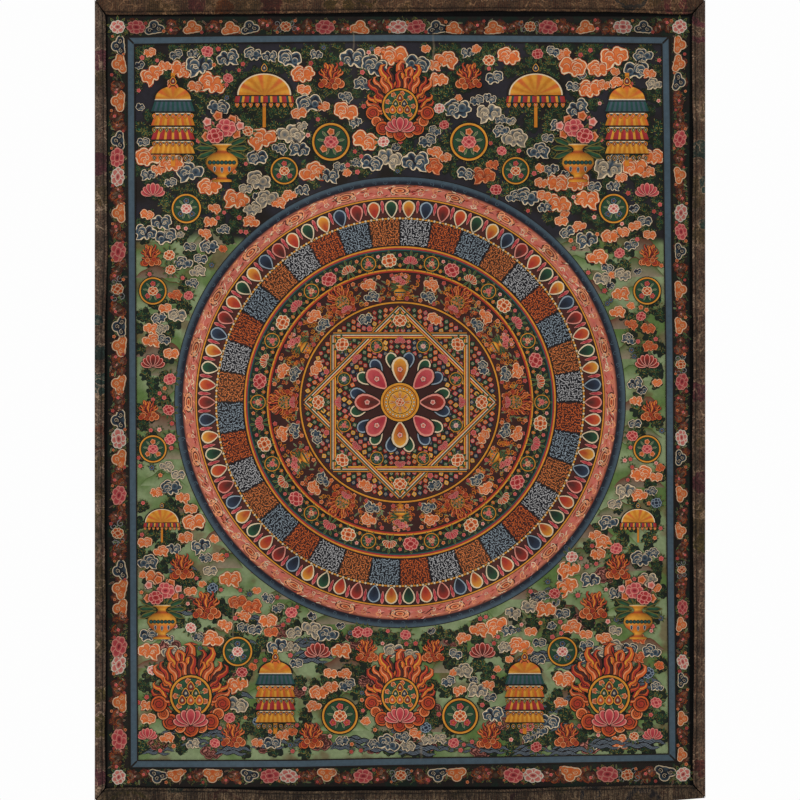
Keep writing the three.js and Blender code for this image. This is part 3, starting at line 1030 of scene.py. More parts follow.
def place_rings():
    """Rings of line, scroll, petals and patchwork, from the rim inwards."""
    slate, red, rose, pink, navy, plum = pigments("slate red rose pink navy plum")
    maroon, rust, salmon, teal = pigments("maroon rust salmon teal")
    table = (
        (RADIUS, INK), (202.3, (slate, slate)), (200.6, (slate, navy)), (197.8, (navy, navy * 0.7)),
        (195.6, (maroon, salmon)), (193.4, (salmon, (salmon + pink) / 2)),
        (188, ((salmon + pink) / 2, salmon)), (184.4, INK), (183.8, (GOLD, OCHRE)), (182.6, INK),
        (182, (plum, maroon)),
        (166.6, INK), (166, (OCHRE, GOLD)), (164.6, INK), (164, (INK, navy * 0.6)), (141, INK),
        (140.2, (OCHRE, GOLD)), (138.8, (red, rose)), (137.4, (teal, teal)), (136, INK), (135.3, (PINE, INK)),
        (120.4, INK), (119.8, (GOLD, OCHRE)), (118.4, (red, red)), (117, INK), (116.4, (plum, maroon * 0.7)),
        (91, INK), (90.4, (OCHRE, GOLD)), (89, INK), (88.4, (maroon * 0.8, plum)),
    )
    radii, shades = [], []
    stops = [radius for radius, _ in table] + [0.0]
    for (radius, shade), inner in zip(table, stops[1:]):
        first, second = shade if isinstance(shade, tuple) else (shade, shade)
        parts = max(1, math.ceil((radius - inner) / 6))
        for k in range(parts):
            radii.append(radius + (inner - radius) * k / parts)
            shades.append((first + (second - first) * k / parts, first + (second - first) * (k + 1) / parts))
    film("medallion", True).add(rings(radii, shades, 160), MEDALLION, lift=LEVEL["ring"])
    lift = LEVEL["ring"] + 0.03
    motifs = film("ring_motifs")

    # Scroll ring: streaks that run along it, with curls over them.
    bend = np.linspace(-1, 1, 4)
    stroke = ribbon(np.stack([bend, 0.35 * np.sin(bend * 3)], 1), 0.5 * (1.1 - bend**2), [(1, np.ones(3))])
    for paint in ("peach", "red", "blush", "cream", "rust", "maroon"):
        streak = stroke._replace(colours=stroke.colours * pigment(paint))
        radius = rng.uniform(185.6, 194.6, 150)
        angles = any_turn(150)
        places = spokes(radius, angles) + MEDALLION
        turn = angles + np.pi / 2 + rng.normal(0, 0.3, 150)
        film("streaks").add(streak, places, (3.0, 1.5), turn, 1, lift, jitter(150, 0.2))
    peach = pigment("peach")
    ripple = rings((1, 0.86, 0.7, 0.56, 0.4, 0.26), [maroon, peach, salmon, maroon, peach, rust], 14)
    places, angles = around(RING["scroll"], 24)
    motifs.add(ripple, places, (9.5, 4), angles, 1, lift + 0.012, jitter(24, 0.2))
    curls = ((191.6, 96, "peach", 3.0), (188.2, 96, "cream", 2.4), (198.3, 120, "slate", 2.0))
    for radius, count, paint, size in curls:
        places, angles = around(radius, count, radius)
        shape = curl(1.2, pigment(paint), 0.3, 9)
        wide, turn = size * jitter(count, 0.25), any_turn(count)
        motifs.add(shape, places, wide, turn, 1, lift + 0.024, jitter(count, 0.2))

    # Petal ring: broad petals in five colours with a narrow one behind each gap.
    for k, paint in enumerate(("red", "blue", "gold", "green", "orange")):
        places, angles = around(RING["petals"], 14, TURN * k / 70)
        motifs.add(PETALS[paint], places, (13, 8.6), angles, 1, lift + 0.05, jitter(14))
    places, angles = around(176, 70, TURN / 140)
    motifs.add(PETALS["pink"], places, (3.6, 6.4), angles, 1, lift, jitter(70))
    places, angles = around(RING["pearls"], 200)
    motifs.add(PEARL, places, 1.5, angles, 1, lift + 0.08)

    # Patchwork ring: patches of short winding strokes, pale on black and orange on brown by turns.
    grounds = (
        (navy * 0.5, "fog"), (pigment("brown", 0.5), "amber"),
        (navy * 0.5, "pale_blue"), (maroon * 0.7, "orange"),
    )
    patches = 36
    for k in range(patches):
        ground, paint = grounds[k % 4]
        angle = (k + np.linspace(0.01, 0.99, 9)) * TURN / patches
        patch = ribbon(spokes(RING["patchwork"], angle), 22.6, [(1, ground)])
        film("patches", True).add(patch, MEDALLION, lift=lift)
        radius, share = np.meshgrid(142.4 + 1.75 * np.arange(13), (np.arange(12) + 0.5) / 12)
        count = radius.size
        share = k + 0.03 + 0.94 * share.ravel() + rng.uniform(-0.03, 0.03, count)
        spots = spokes(radius.ravel() + rng.uniform(-0.6, 0.6, count), share * TURN / patches)
        dash = shape_of(stroke.points, [stroke.faces], [stroke.colours * pigment(paint)])
        turn, tint = any_turn(count), jitter(count, 0.25)
        film("strokes").add(dash, spots + MEDALLION, 1.3, turn, 1, lift + 0.04, tint)

    # Garland ring: roundels, lotuses, flowers and flaming gems by turns.
    cells = (
        STOCK["roundel"], LOTUS["orange"], PEONIES["rose"][0],
        STOCK["other_roundel"], LOTUS["pink"], PEONIES["orange"][1],
    )
    for k, shape in enumerate(cells):
        places, angles = around(RING["garland"], 7, TURN * k / 42)
        motifs.add(WREATH, places, 9.2, angles, 1, lift, 1.3)
        # A lotus grows upwards from its foot, so it starts a little further in.
        inset = spokes(2.5, angles + np.pi / 2) if k % 3 == 1 else 0
        motifs.add(shape, places - inset, 7.3, angles, 1, lift + 0.14)
        for out in (-4.6, 4.6):
            spots, angles = around(RING["garland"] + out, 7, TURN * (k + 0.5) / 42)
            small = BUDS[("orange", "pink", "cream")[k % 3]] if out > 0 else GEMS[3]
            motifs.add(small, spots, 2.2, angles, 1, lift + 0.02)


def place_dark_ring():
    """The dark ring inside the patchwork: jewels and vases by turns, with scrolls between them."""
    lift = LEVEL["ring"] + 0.05
    motifs = film("dark_ring")
    for k, name in enumerate(("jewel", "vase")):
        places, angles = around(RING["dark"], 6, TURN * k / 12)
        motifs.add(STOCK[name], places, 11.5, angles, 1, lift + 0.16)
    for radius, count, paint in ((109, 12, "orange"), (98, 12, "navy")):
        places, angles = around(radius, count, TURN / 24)
        motifs.add(CLOUDS[paint][0], places, 8.6, angles, 1, lift + 0.1)
    for radius, count, size in ((114, 60, 2.6), (93.4, 48, 2.6)):
        places, angles = around(radius, count, TURN / 96)
        motifs.add(BUDS["orange"], places[::2], size, angles[::2], 1, lift + 0.02)
        motifs.add(BUDS["rose"], places[1::2], size, angles[1::2], 1, lift + 0.02)
    for shape, count, size, level in (
        (PALE_LEAF, 420, 2.6, 0),
        (curl(1.2, OCHRE, 0.3, 9), 360, 2.2, 0.012),
        (curl(1.2, pigment("orange"), 0.34, 9), 360, 1.9, 0.018),
    ):
        places = MEDALLION + spokes(rng.uniform(93, 114.5, count), any_turn(count))
        motifs.add(shape, places, size, any_turn(count), 1, lift + level, jitter(count, 0.3))


def place_heart():
    """The heart: a star of two squares over a lattice of gems, and a lotus in the middle."""
    lift = LEVEL["ring"] + 0.05
    red, teal, blue, rose, orange = pigments("red teal slate rose orange")
    motifs = film("heart")

    # Lattice: staggered rings of small diamonds.
    order = ("orange", "leaf", "red", "gold", "indigo", "pink")
    for row in range(9):
        radius = 45.5 + 4.75 * row
        count = 6 * round(radius * TURN / 5.2 / 6)
        places, angles = around(radius, count, (row % 2) * np.pi / count)
        for k, name in enumerate(order):
            gem = rings((1, 0.74, 0.4), (INK * 1.4, pigment(name), (CREAM * 0.6, pigment(name, 0.5))), 4)
            some = slice((k + 2 * row) % 6, None, 6)
            motifs.add(gem, places[some], 3.5, angles[some], 1, lift, jitter(len(places[some]), 0.15))

    # Star: the sides of two squares, each over one neighbour and under the next.
    bands = [(0.5, INK), (1.2, GOLD), (1, red), (0.8, CREAM), (1.2, teal), (0.9, OCHRE), (0.5, INK)]
    steps = np.linspace(-1, 1, 41)
    over = np.where(np.abs(steps + 0.414) < 0.16, 0.05, 0.0)
    half = 85 / math.sqrt(2)
    bar = ribbon(np.stack([steps * half, 0 * steps + half], 1), 6.2, bands)
    bar = bar._replace(rise=np.tile(over, len(bands) + 1))
    for k in range(8):
        film("star").add(bar, MEDALLION, 1, TURN * k / 8, 1, lift + 0.06)
    places, angles = around(73.5, 8)
    motifs.add(WREATH, places, 9.5, angles, 1, lift + 0.03)
    motifs.add(PEONIES["orange"][0], places, 6.6, angles, 1, lift + 0.18)
    places, angles = around(80.5, 8, TURN / 16)
    motifs.add(CLOUDS["navy"][1], places[::2], 9, angles[::2], 1, lift + 0.03)
    motifs.add(CLOUDS["orange"][1], places[1::2], 9, angles[1::2], 1, lift + 0.03)
    places, angles = around(71.5, 8, TURN / 16)
    motifs.add(BUDS["pink"], places, 3.4, angles, 1, lift + 0.16)
    places, angles = around(54.5, 8, TURN / 16)
    motifs.add(STOCK["roundel"], places[::2], 6.4, angles[::2], 1, lift + 0.1)
    motifs.add(STOCK["pale_roundel"], places[1::2], 6.4, angles[1::2], 1, lift + 0.1)
    places, angles = around(53.5, 8)
    motifs.add(LOTUS["pink"], places, 5.6, angles, 1, lift + 0.1)

    # Lotus: sixteen small petals behind eight large ones, round a gold boss.
    for k, paint in enumerate(("green", "blue")):
        places, angles = around(37.5, 8, TURN * (k + 0.5) / 16)
        motifs.add(PETALS[paint], places, (12, 9), angles, 1, lift + 0.12)
    for k, paint in enumerate(("red", "pink", "gold", "pink")):
        places, angles = around(29, 2, TURN * k / 8)
        motifs.add(PETALS[paint], places, (17, 13), angles, 1, lift + 0.16)
    places, angles = around(29.5, 8)
    motifs.add(BUDS["cream"], places, 3, angles, 1, lift + 0.19)
    shades = (INK, (GOLD, OCHRE), INK, (OCHRE, GOLD), INK, (GOLD, OCHRE), (orange, GOLD))
    boss = rings((18, 17.3, 15.2, 14.6, 10.6, 10, 4), shades, 40)
    motifs.add(boss, MEDALLION, lift=lift + 0.22)
    places, angles = around(12.6, 24)
    motifs.add(PEARL, places, 1.2, angles, 1, lift + 0.24)
    places, angles = around(7.2, 8)
    motifs.add(PETALS["gold"], places, (2.6, 3.2), angles, 1, lift + 0.24)
    motifs.add(PEONIES["orange"][2], MEDALLION, 4.4, 0, 1, lift + 0.26)


place_rings()
place_dark_ring()
place_heart()


# Shader maths


class Value:
    """One output of a material's nodes. Arithmetic on it adds Math nodes."""

    def __init__(self, tree, socket=None):
        """An output socket of a node tree. Without a socket it only makes other nodes."""
        self.tree, self.socket = tree, socket

    def node(self, kind, settings=None, sockets=None, out=0):
        """Any other node: its settings go in first, then the values or links of its sockets."""
        made = self.tree.nodes.new("ShaderNode" + kind)
        for key, value in (settings or {}).items():
            setattr(made, key, value)
        for key, value in (sockets or {}).items():
            if isinstance(value, Value):
                self.tree.links.new(value.socket, made.inputs[key])
            else:
                made.inputs[key].default_value = value
        return Value(self.tree, made.outputs[out])

    def maths(self, operation, *values):
        """One Math node: this value first, then the others."""
        return self.node("Math", {"operation": operation}, dict(enumerate((self, *values))))

    def __add__(self, other):
        return self.maths("ADD", other)

    def __sub__(self, other):
        return self.maths("SUBTRACT", other)

    def __rsub__(self, other):
        return self.maths("MULTIPLY_ADD", -1.0, other)

    def __mul__(self, other):
        return self.maths("MULTIPLY", other)

    __radd__, __rmul__ = __add__, __mul__

    def between(self, low, high):
        """0 below low, 1 above high and smooth between them."""
        return self.node("MapRange", {"interpolation_type": "SMOOTHSTEP"}, {0: self, 1: low, 2: high})

    def mixed(self, first, second):
        """A colour that goes from first to second as this value goes from 0 to 1."""
        return self.node("Mix", {"data_type": "RGBA"}, {0: self, 6: first, 7: second}, out=2)

    def shading(self, colour):
        """A colour times this value."""
        settings = {"data_type": "RGBA", "blend_type": "MULTIPLY"}
        return self.node("Mix", settings, {0: 1.0, 6: colour, 7: self}, out=2)

    def noise(self, place, scale, detail=2.0):
        """A smooth noise from 0 to 1 over a place in metres. A larger scale makes it finer."""
        return self.node("TexNoise", {}, {"Vector": place, "Scale": scale, "Detail": detail})

    def wave(self, period):
        """A sine along a length in metres, from 0 to 1."""
        return (self * (TURN / period)).maths("SINE") * 0.5 + 0.5


def rgba(name, share=1.0):
    """A pigment times a share, as a socket takes it."""
    return (*[float(part) for part in pigment(name, share)], 1.0)


def new_material(name):
    """A material, its surface, and the values of a place on the object: the place, x and z."""
    material = bpy.data.materials.new(name)
    material.use_nodes = True
    surface = material.node_tree.nodes["Principled BSDF"]
    place = Value(material.node_tree).node("TexCoord", out=3)
    x, z = (place.node("SeparateXYZ", {}, {0: place}, out=k) for k in (0, 2))
    return material, surface, place, x, z


def join(surface, **values):
    """Links or sets a surface's sockets, named with _ for a space."""
    for name, value in values.items():
        socket = surface.inputs[name.replace("_", " ")]
        if isinstance(value, Value):
            value.tree.links.new(value.socket, socket)
        else:
            socket.default_value = value


# Pale runs where drops of water came down the paint: x, z, half width and length in mm.
DRIPS = (
    (-42, -37, 1.1, 12), (30, -58, 1.5, 34), (19, -668, 2.0, 18),
    (-150, -560, 1.2, 26), (142, -250, 1.0, 30),
)
# The rest is in metres. Dust lies thickest inside a box: its half width and half height, and how far
# down its middle is.
DUSTY_WIDE, DUSTY_HIGH, DUSTY_DOWN = 0.2465, 0.329, 0.361
# How far apart the threads of the canvas, the brocade's ribs and its picks are.
WEAVE_PITCH, RIB_PITCH, PICK_PITCH = 0.0011, 0.0019, 0.0009
# Going up, the field's ground turns from green to night blue between the first two heights, and the
# chalky threads of the lowest strip end between the other two.
SKY_FADE, CHALK_FADE = (-0.222, -0.212), (-0.708, -0.706)


def aged(colour, place, x, z):
    """A paint's colour after years of wear: mottled, dusty, and run by drops of water."""
    broad = place.noise(place, 9.0, 3.0)
    fine = place.noise(place, 330.0, 4.0)
    middle = place.noise(place, 60.0, 3.0)
    colour = ((0.69 + 0.5 * broad) * (0.7 + 0.6 * fine) * (0.85 + 0.3 * middle)).shading(colour)
    off_z = (z + DUSTY_DOWN).maths("ABSOLUTE") - DUSTY_HIGH
    edge = (x.maths("ABSOLUTE") - DUSTY_WIDE).maths("MAXIMUM", off_z)
    dust = (broad.between(0.5, 0.9) * 0.1 + 0.06) * (1 - 0.5 * edge.between(0, 0.003))
    colour = dust.mixed(colour, rgba("dun", 0.5))
    run = None
    for at_x, at_z, width, length in DRIPS:
        off = (x - at_x * MM + (middle - 0.5) * 0.004).maths("ABSOLUTE")
        off_z = (z - at_z * MM).maths("ABSOLUTE")
        one = (1 - off.between(0, width * MM)) * (1 - off_z.between(length * 0.4 * MM, length * MM))
        run = one if run is None else run.maths("MAXIMUM", one)
    return (run * 0.3).mixed(colour, rgba("cream", 0.45))


def painted(surface, colour, place, x, z):
    """A painted cloth's surface: its colour, its matt sheen, and the weave and strokes in it."""
    fine = place.noise(place, 420.0, 3.0)
    relief = x.wave(WEAVE_PITCH) * z.wave(WEAVE_PITCH) * 0.6 + fine
    normal = place.node("Bump", {}, {"Height": relief, "Strength": 0.35, "Distance": 0.00012})
    join(surface, Base_Color=colour, Roughness=0.7 + 0.25 * fine, Normal=normal)
    join(surface, Specular_IOR_Level=0.12)


def paint_material():
    """Matt mineral paint: the shapes carry their pigments as an attribute."""
    material, surface, place, x, z = new_material("mineral_paint")
    colour = place.node("Attribute", {"attribute_name": "paint"})
    painted(surface, aged(colour, place, x, z), place, x, z)
    return material


def cloth_material():
    """The cotton sheet: painted grounds on its face, and bare primed cloth on its back."""
    material, surface, place, x, z = new_material("sized_cotton")
    wander = place.noise(place, 14.0, 3.0) - 0.5
    fine = place.noise(place, 160.0, 3.0)

    # The field's ground goes from night blue at the top to sage green below.
    patch = place.noise(place, 26.0, 2.0).between(0.42, 0.62)
    sky = (z + 0.06 * wander).between(*SKY_FADE)
    earth = place.noise(place, 40.0, 2.0).between(0.52, 0.64)
    green = (earth * 0.6).mixed(patch.mixed(rgba("sage", 0.8), rgba("meadow", 0.8)), rgba("brown", 1.1))
    field = sky.mixed(green, patch.mixed(rgba("night"), rgba("ink")))

    # The border's dark ground lies beyond the slate line. Its sides lean a little: each is a straight
    # line in metres, with a slope and an offset.
    left, right = z * -0.0045 - 0.2421, z * -0.0096 + 0.2382
    top, bottom = -0.0358, x * 0.0118 - 0.6845
    out = (left - x).maths("MAXIMUM", x - right)
    out = out.maths("MAXIMUM", z - top).maths("MAXIMUM", bottom - z)
    brown = place.noise(place, 90.0, 2.0).between(0.45, 0.6)
    ground = brown.mixed(rgba("ground", 0.7), rgba("pine", 0.5))
    ground = out.between(0.0, 0.0004).mixed(field, ground)
    # Beyond the border the face is nearly black: the cloth's dark painted edge, and painted shade where the
    # strips' folds overhang it.
    wide = (MARGIN_X[1] - MARGIN_X[0]) / 2 * MM
    high = (MARGIN_Z[1] - MARGIN_Z[0]) / 2 * MM
    off_x = (x - sum(MARGIN_X) / 2 * MM).maths("ABSOLUTE") - wide
    off_z = (z - sum(MARGIN_Z) / 2 * MM).maths("ABSOLUTE") - high
    dark_edge_and_shade = (off_x.maths("MAXIMUM", off_z) + 0.0008 * wander).between(0, 0.0006)
    face = dark_edge_and_shade.mixed(aged(ground, place, x, z), rgba("ink", 0.12))

    # The back is primed cotton, yellowed and marked by water.
    tide = place.noise(place, 6.0, 5.0).between(0.42, 0.7)
    back = (0.6 + 0.6 * fine).shading(tide.mixed((0.55, 0.46, 0.32, 1), (0.42, 0.33, 0.21, 1)))
    facing = place.node("NewGeometry", out=1)
    behind = place.node("SeparateXYZ", {}, {0: facing}, out=1).between(-0.2, 0.2)
    painted(surface, behind.mixed(face, back), place, x, z)
    return material


# Woven rings and discs, cut off by the strips' edges: the middle as x and z, the outer and the inner
# radius in mm, and the thread's pigment and its share. A disc has no inner radius.
WOVEN = (
    (207, 7, 17, 13.6, "slate", 0.35), (278, 0, 41, 35.5, "wine", 1.0), (278, 0, 27, 21.5, "wine", 1.0),
    (217.6, -725.4, 18, 13, "navy", 1.1), (171, -714, 9, 6, "indigo", 0.5), (117, -723, 19, 15, "wine", 0.4),
    (145, -704.5, 8, 0, "olive", 0.5), (-201.4, -703.5, 11, 0, "teal", 0.5),
    (-242, -727, 18, 14.5, "olive", 0.6),
    (-157, -722, 13, 9.5, "maroon", 0.8),
    (-182, -4, 9, 0, "wine", 0.8), (-157, -8, 8, 0, "ochre", 0.18),
    (-115, -4, 10, 0, "maroon", 0.9), (-62, -3, 6, 0, "olive", 0.5), (-47, -5, 5, 0, "olive", 0.5),
    (-28, 1, 8, 5, "olive", 0.5),
    (270, -135, 9, 0, "teal", 0.55), (275, -167, 8, 0, "teal", 0.55), (273, -201.5, 4.5, 0, "teal", 0.55),
    (268, -353, 9.5, 0, "wine", 0.8), (271, -434, 10, 0, "wine", 0.8), (272, -489, 9, 0, "olive", 0.5),
    (271, -690, 8, 0, "maroon", 0.9), (-271, -54, 9, 0, "wine", 0.8), (-272, -147, 10, 0, "wine", 0.8),
    (-272, -288, 5, 0, "teal", 0.55), (-270, -317, 7, 0, "teal", 0.55), (-270, -345, 9, 0, "teal", 0.55),
    (-271, -395, 11, 7, "brown", 1.0), (-271, -626, 8, 0, "olive", 0.45), (-271, -653, 10, 0, "olive", 0.45),
    (-272, -699, 8, 0, "wine", 0.7),
)


def brocade_material():
    """Brown brocade: fine upright threads, woven patches in faded colours, rubbed places, and the painted
    shade and fading that each strip carries.
    """
    material, surface, place, x, z = new_material("brocade_weave")
    wander = place.noise(place, 45.0, 2.0)
    fine = place.noise(place, 700.0, 2.0)
    long_way = place.node("Mapping", {}, {"Vector": place, "Scale": (1100, 1100, 90)})
    streak = place.noise(long_way, 1.0)
    ribs = (x + 0.0008 * wander).wave(RIB_PITCH)
    picks = z.wave(PICK_PITCH)
    base = ribs.mixed(rgba("brown", 0.62), rgba("dun", 0.3))
    base = streak.between(0.35, 0.7).mixed(base, rgba("dun", 0.36))

    # Faint woven patches with a crisp and ragged edge.
    upper = z.between(*CHALK_FADE)
    moved = place.node("Mapping", {}, {"Vector": place, "Location": (3.1, 3.1, 3.1)})
    patch = place.noise(moved, 36.0, 4.0)
    line = patch.between(0.54, 0.56) * (1 - patch.between(0.58, 0.59))
    base = (line * 0.3).mixed(base, rgba("dun", 0.75))
    base = (patch.between(0.58, 0.592) * 0.4).mixed(base, rgba("olive", 0.5))
    ragged = (place.noise(place, 170.0, 3.0) - 0.5) * 0.012
    for at_x, at_z, outer, inner, name, share in WOVEN:
        off_x, off_z = x - at_x * MM, z - at_z * MM
        off = (off_x * off_x + off_z * off_z).maths("SQRT") + ragged
        line = off.between(outer * MM, (outer + 0.4) * MM)
        line = line * (1 - off.between((outer + 0.7) * MM, (outer + 1.1) * MM))
        base = (line * 0.5).mixed(base, rgba("dun", 1.0))
        band = 1 - off.between((outer - 0.3) * MM, outer * MM)
        if inner:
            band = band * off.between((inner - 0.3) * MM, inner * MM)
        base = (band * 0.8).mixed(base, rgba(name, share))
    rubbed = place.noise(place, 220.0, 3.0).between(0.52, 0.7)
    base = (rubbed * 0.25).mixed(base, rgba("dun", 0.8))

    # Scrolls: thin lines where a smooth noise passes its middle, in some parts only.
    level = place.noise(place, 110.0, 1.0)
    scroll = level.between(0.47, 0.49) * (1 - level.between(0.51, 0.53)) * wander.between(0.44, 0.56)
    base = (scroll * 0.55).mixed(base, rgba("dun", 1.1))
    chalk = streak.between(0.5, 0.6) * (1 - upper)
    base = (chalk * 0.6).mixed(base, rgba("dun", 1.1))
    shade = (fine.between(0.3, 0.7) * 1.2 + 0.4) * (wander.between(0.3, 0.7) * 0.7 + 0.62)
    shade = shade * (0.75 + 0.25 * picks)
    # Each strip's corners carry painted shade in its groove, under its fold and at its ends, times the
    # strip's fading.
    strip_shade_and_fading = place.node("Attribute", {"attribute_name": "paint"})
    relief = ribs * 0.6 + picks * 0.25 + fine * 0.6
    normal = place.node("Bump", {}, {"Height": relief, "Strength": 0.6, "Distance": 0.0003})
    colour = strip_shade_and_fading.shading(shade.shading(base))
    join(surface, Base_Color=colour, Roughness=0.6 + 0.3 * fine, Normal=normal)
    join(surface, Specular_IOR_Level=0.2, Sheen_Weight=0.06, Sheen_Roughness=0.5)
    return material


paint = paint_material()
for name, some_film in films.items():
    some_film.build("paint_" + name, paint)


# The cotton sheet


def cotton_sheet():
    """The sheet: a face and a back on the billowed surface, closed by a rim.

    The face takes most of the map, and the back and the rim share the rest.
    """
    columns, rows = 70, 92
    half = WIDTH / 2 - CANVAS_INSET
    across, down = np.meshgrid(np.linspace(0, 1, columns + 1), np.linspace(0, 1, rows + 1))
    x = (2 * across - 1) * half
    z = -CANVAS_INSET + down * (lower_edge(x) + 2 * CANVAS_INSET)
    points, maps = [], []
    for side, foot, high in ((-1, 0.0, 0.8), (1, 0.82, 0.18)):
        points.append(np.stack([x, billow(x, z) + side * CANVAS_THICK / 2, z], 2).reshape(-1, 3))
        maps.append(np.stack([across, (1 - down) * high + foot], 2).reshape(-1, 2))
    points, maps = np.concatenate(points), np.concatenate(maps)
    per_row = columns + 1
    back = per_row * (rows + 1)
    row, column = np.meshgrid(np.arange(rows), np.arange(columns), indexing="ij")
    a = (row * per_row + column).ravel()
    high = np.arange(columns)
    low = high + rows * per_row
    left = np.arange(rows) * per_row
    right = left + columns
    quads = np.concatenate([
        np.stack([a, a + per_row, a + per_row + 1, a + 1], 1),
        np.stack([back + a, back + a + 1, back + a + per_row + 1, back + a + per_row], 1),
        np.stack([high, high + 1, back + high + 1, back + high], 1),
        np.stack([low, back + low, back + low + 1, low + 1], 1),
        np.stack([left, back + left, back + left + per_row, left + per_row], 1),
        np.stack([right, right + per_row, back + right + per_row, back + right], 1),
    ])
    faces = np.concatenate([quads[:, [0, 1, 2]], quads[:, [0, 2, 3]]])
    uv = maps[faces]
    rim = np.ptp((faces >= back).astype(int), axis=1) > 0
    count = rim.sum()
    corner = np.array([(0, 0), (1, 0), (1, 1)]) * 0.8
    strip = np.stack([np.arange(count) / count, np.full(count, 0.802)], 1)[:, None]
    uv[rim] = strip + corner * (1 / count, 0.015)
    piece = new_piece("cotton_sheet", points, faces, cloth_material(), uv)
    piece.data.shade_smooth()
    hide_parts("painted_canvas")


cotton_sheet()


# The brocade strips

# The window that the strips leave open: how far its corners lie in from the outer edges.
IN_LEFT, IN_RIGHT_TOP, IN_RIGHT_BOTTOM = 9.9, 12.1, 11.2
IN_TOP_LEFT, IN_TOP_RIGHT, IN_BOTTOM_LEFT, IN_BOTTOM_RIGHT = 14.4, 13.5, 11.7, 12.0
MITRE_GAP_OUTER, MITRE_GAP_INNER = 0.3, 1.0

# How far each inner fold bows outwards at a share of the strip's length, clockwise round the frame.
BOWS = dict(
    top=((0, 0), (0.05, 0.4), (0.16, 0.8), (0.33, 1.5), (0.5, 2.7), (0.67, 3.4), (0.84, 2.4), (1, 0)),
    right=((0, 0), (0.06, 0.4), (0.17, 1.2), (0.3, 0.2), (0.43, 1), (0.56, 0), (0.82, 1.5), (1, 0)),
    bottom=((0, 0), (0.17, 1.3), (0.33, 3.6), (0.5, 4.1), (0.66, 4.4), (0.83, 1.4), (0.94, 0), (1, 0)),
    left=((0, 0), (0.06, 0.9), (0.18, 0), (0.31, 0.9), (0.44, 1.3), (0.57, 0.9), (0.7, -1.3), (1, 0)),
)

# How each strip's cloth has faded.
FADED = dict(
    top=(0.69, 0.47, 0.33), right=(0.93, 0.77, 0.7), bottom=(0.42, 0.35, 0.29), left=(0.93, 0.81, 0.8),
)

# Section of a strip, counter-clockwise: measured from the outer edge (0) or back from the inner
# fold (1), how far in, and how high above the seam.
SECTION = (
    (0, 0.5, 0.0), (1, 0.7, 0.0), (1, 0.2, 0.3), (1, 0.0, 0.7), (1, 0.0, 1.1), (1, 0.15, 1.5),
    (1, 0.5, 1.85), (1, 1.0, 2.05), (1, 1.5, 2.0), (1, 1.95, 1.75), (1, 2.3, 1.4), (1, 2.6, 1.3),
    (1, 2.9, 1.5), (1, 3.3, 1.85), (1, 3.9, 2.0), (1, 5.2, 2.0), (0, 3.6, 1.95), (0, 2.2, 1.95),
    (0, 1.2, 1.9), (0, 0.6, 1.75), (0, 0.2, 1.4), (0, 0.0, 1.0), (0, 0.0, 0.6), (0, 0.2, 0.2),
)


def strip_corners():
    """The outline's and the window's corners, clockwise from the top left."""
    half = WIDTH / 2
    low_left, low_right = lower_edge(-half), lower_edge(half)
    outer = [(-half, 0), (half, 0), (half, low_right), (-half, low_left)]
    inner = [(-half + IN_LEFT, -IN_TOP_LEFT), (half - IN_RIGHT_TOP, -IN_TOP_RIGHT)]
    inner += [(half - IN_RIGHT_BOTTOM, low_right + IN_BOTTOM_RIGHT)]
    inner += [(-half + IN_LEFT, low_left + IN_BOTTOM_LEFT)]
    return np.array(outer, float), np.array(inner, float)


def eased(table, t):
    """A smooth value between the pairs of a table."""
    at, bow = np.array(table, float).T
    k = np.searchsorted(at, t, side="left").clip(1, len(at) - 1)
    u = (t - at[k - 1]) / (at[k] - at[k - 1])
    return bow[k - 1] + (bow[k] - bow[k - 1]) * u * u * (3 - 2 * u)


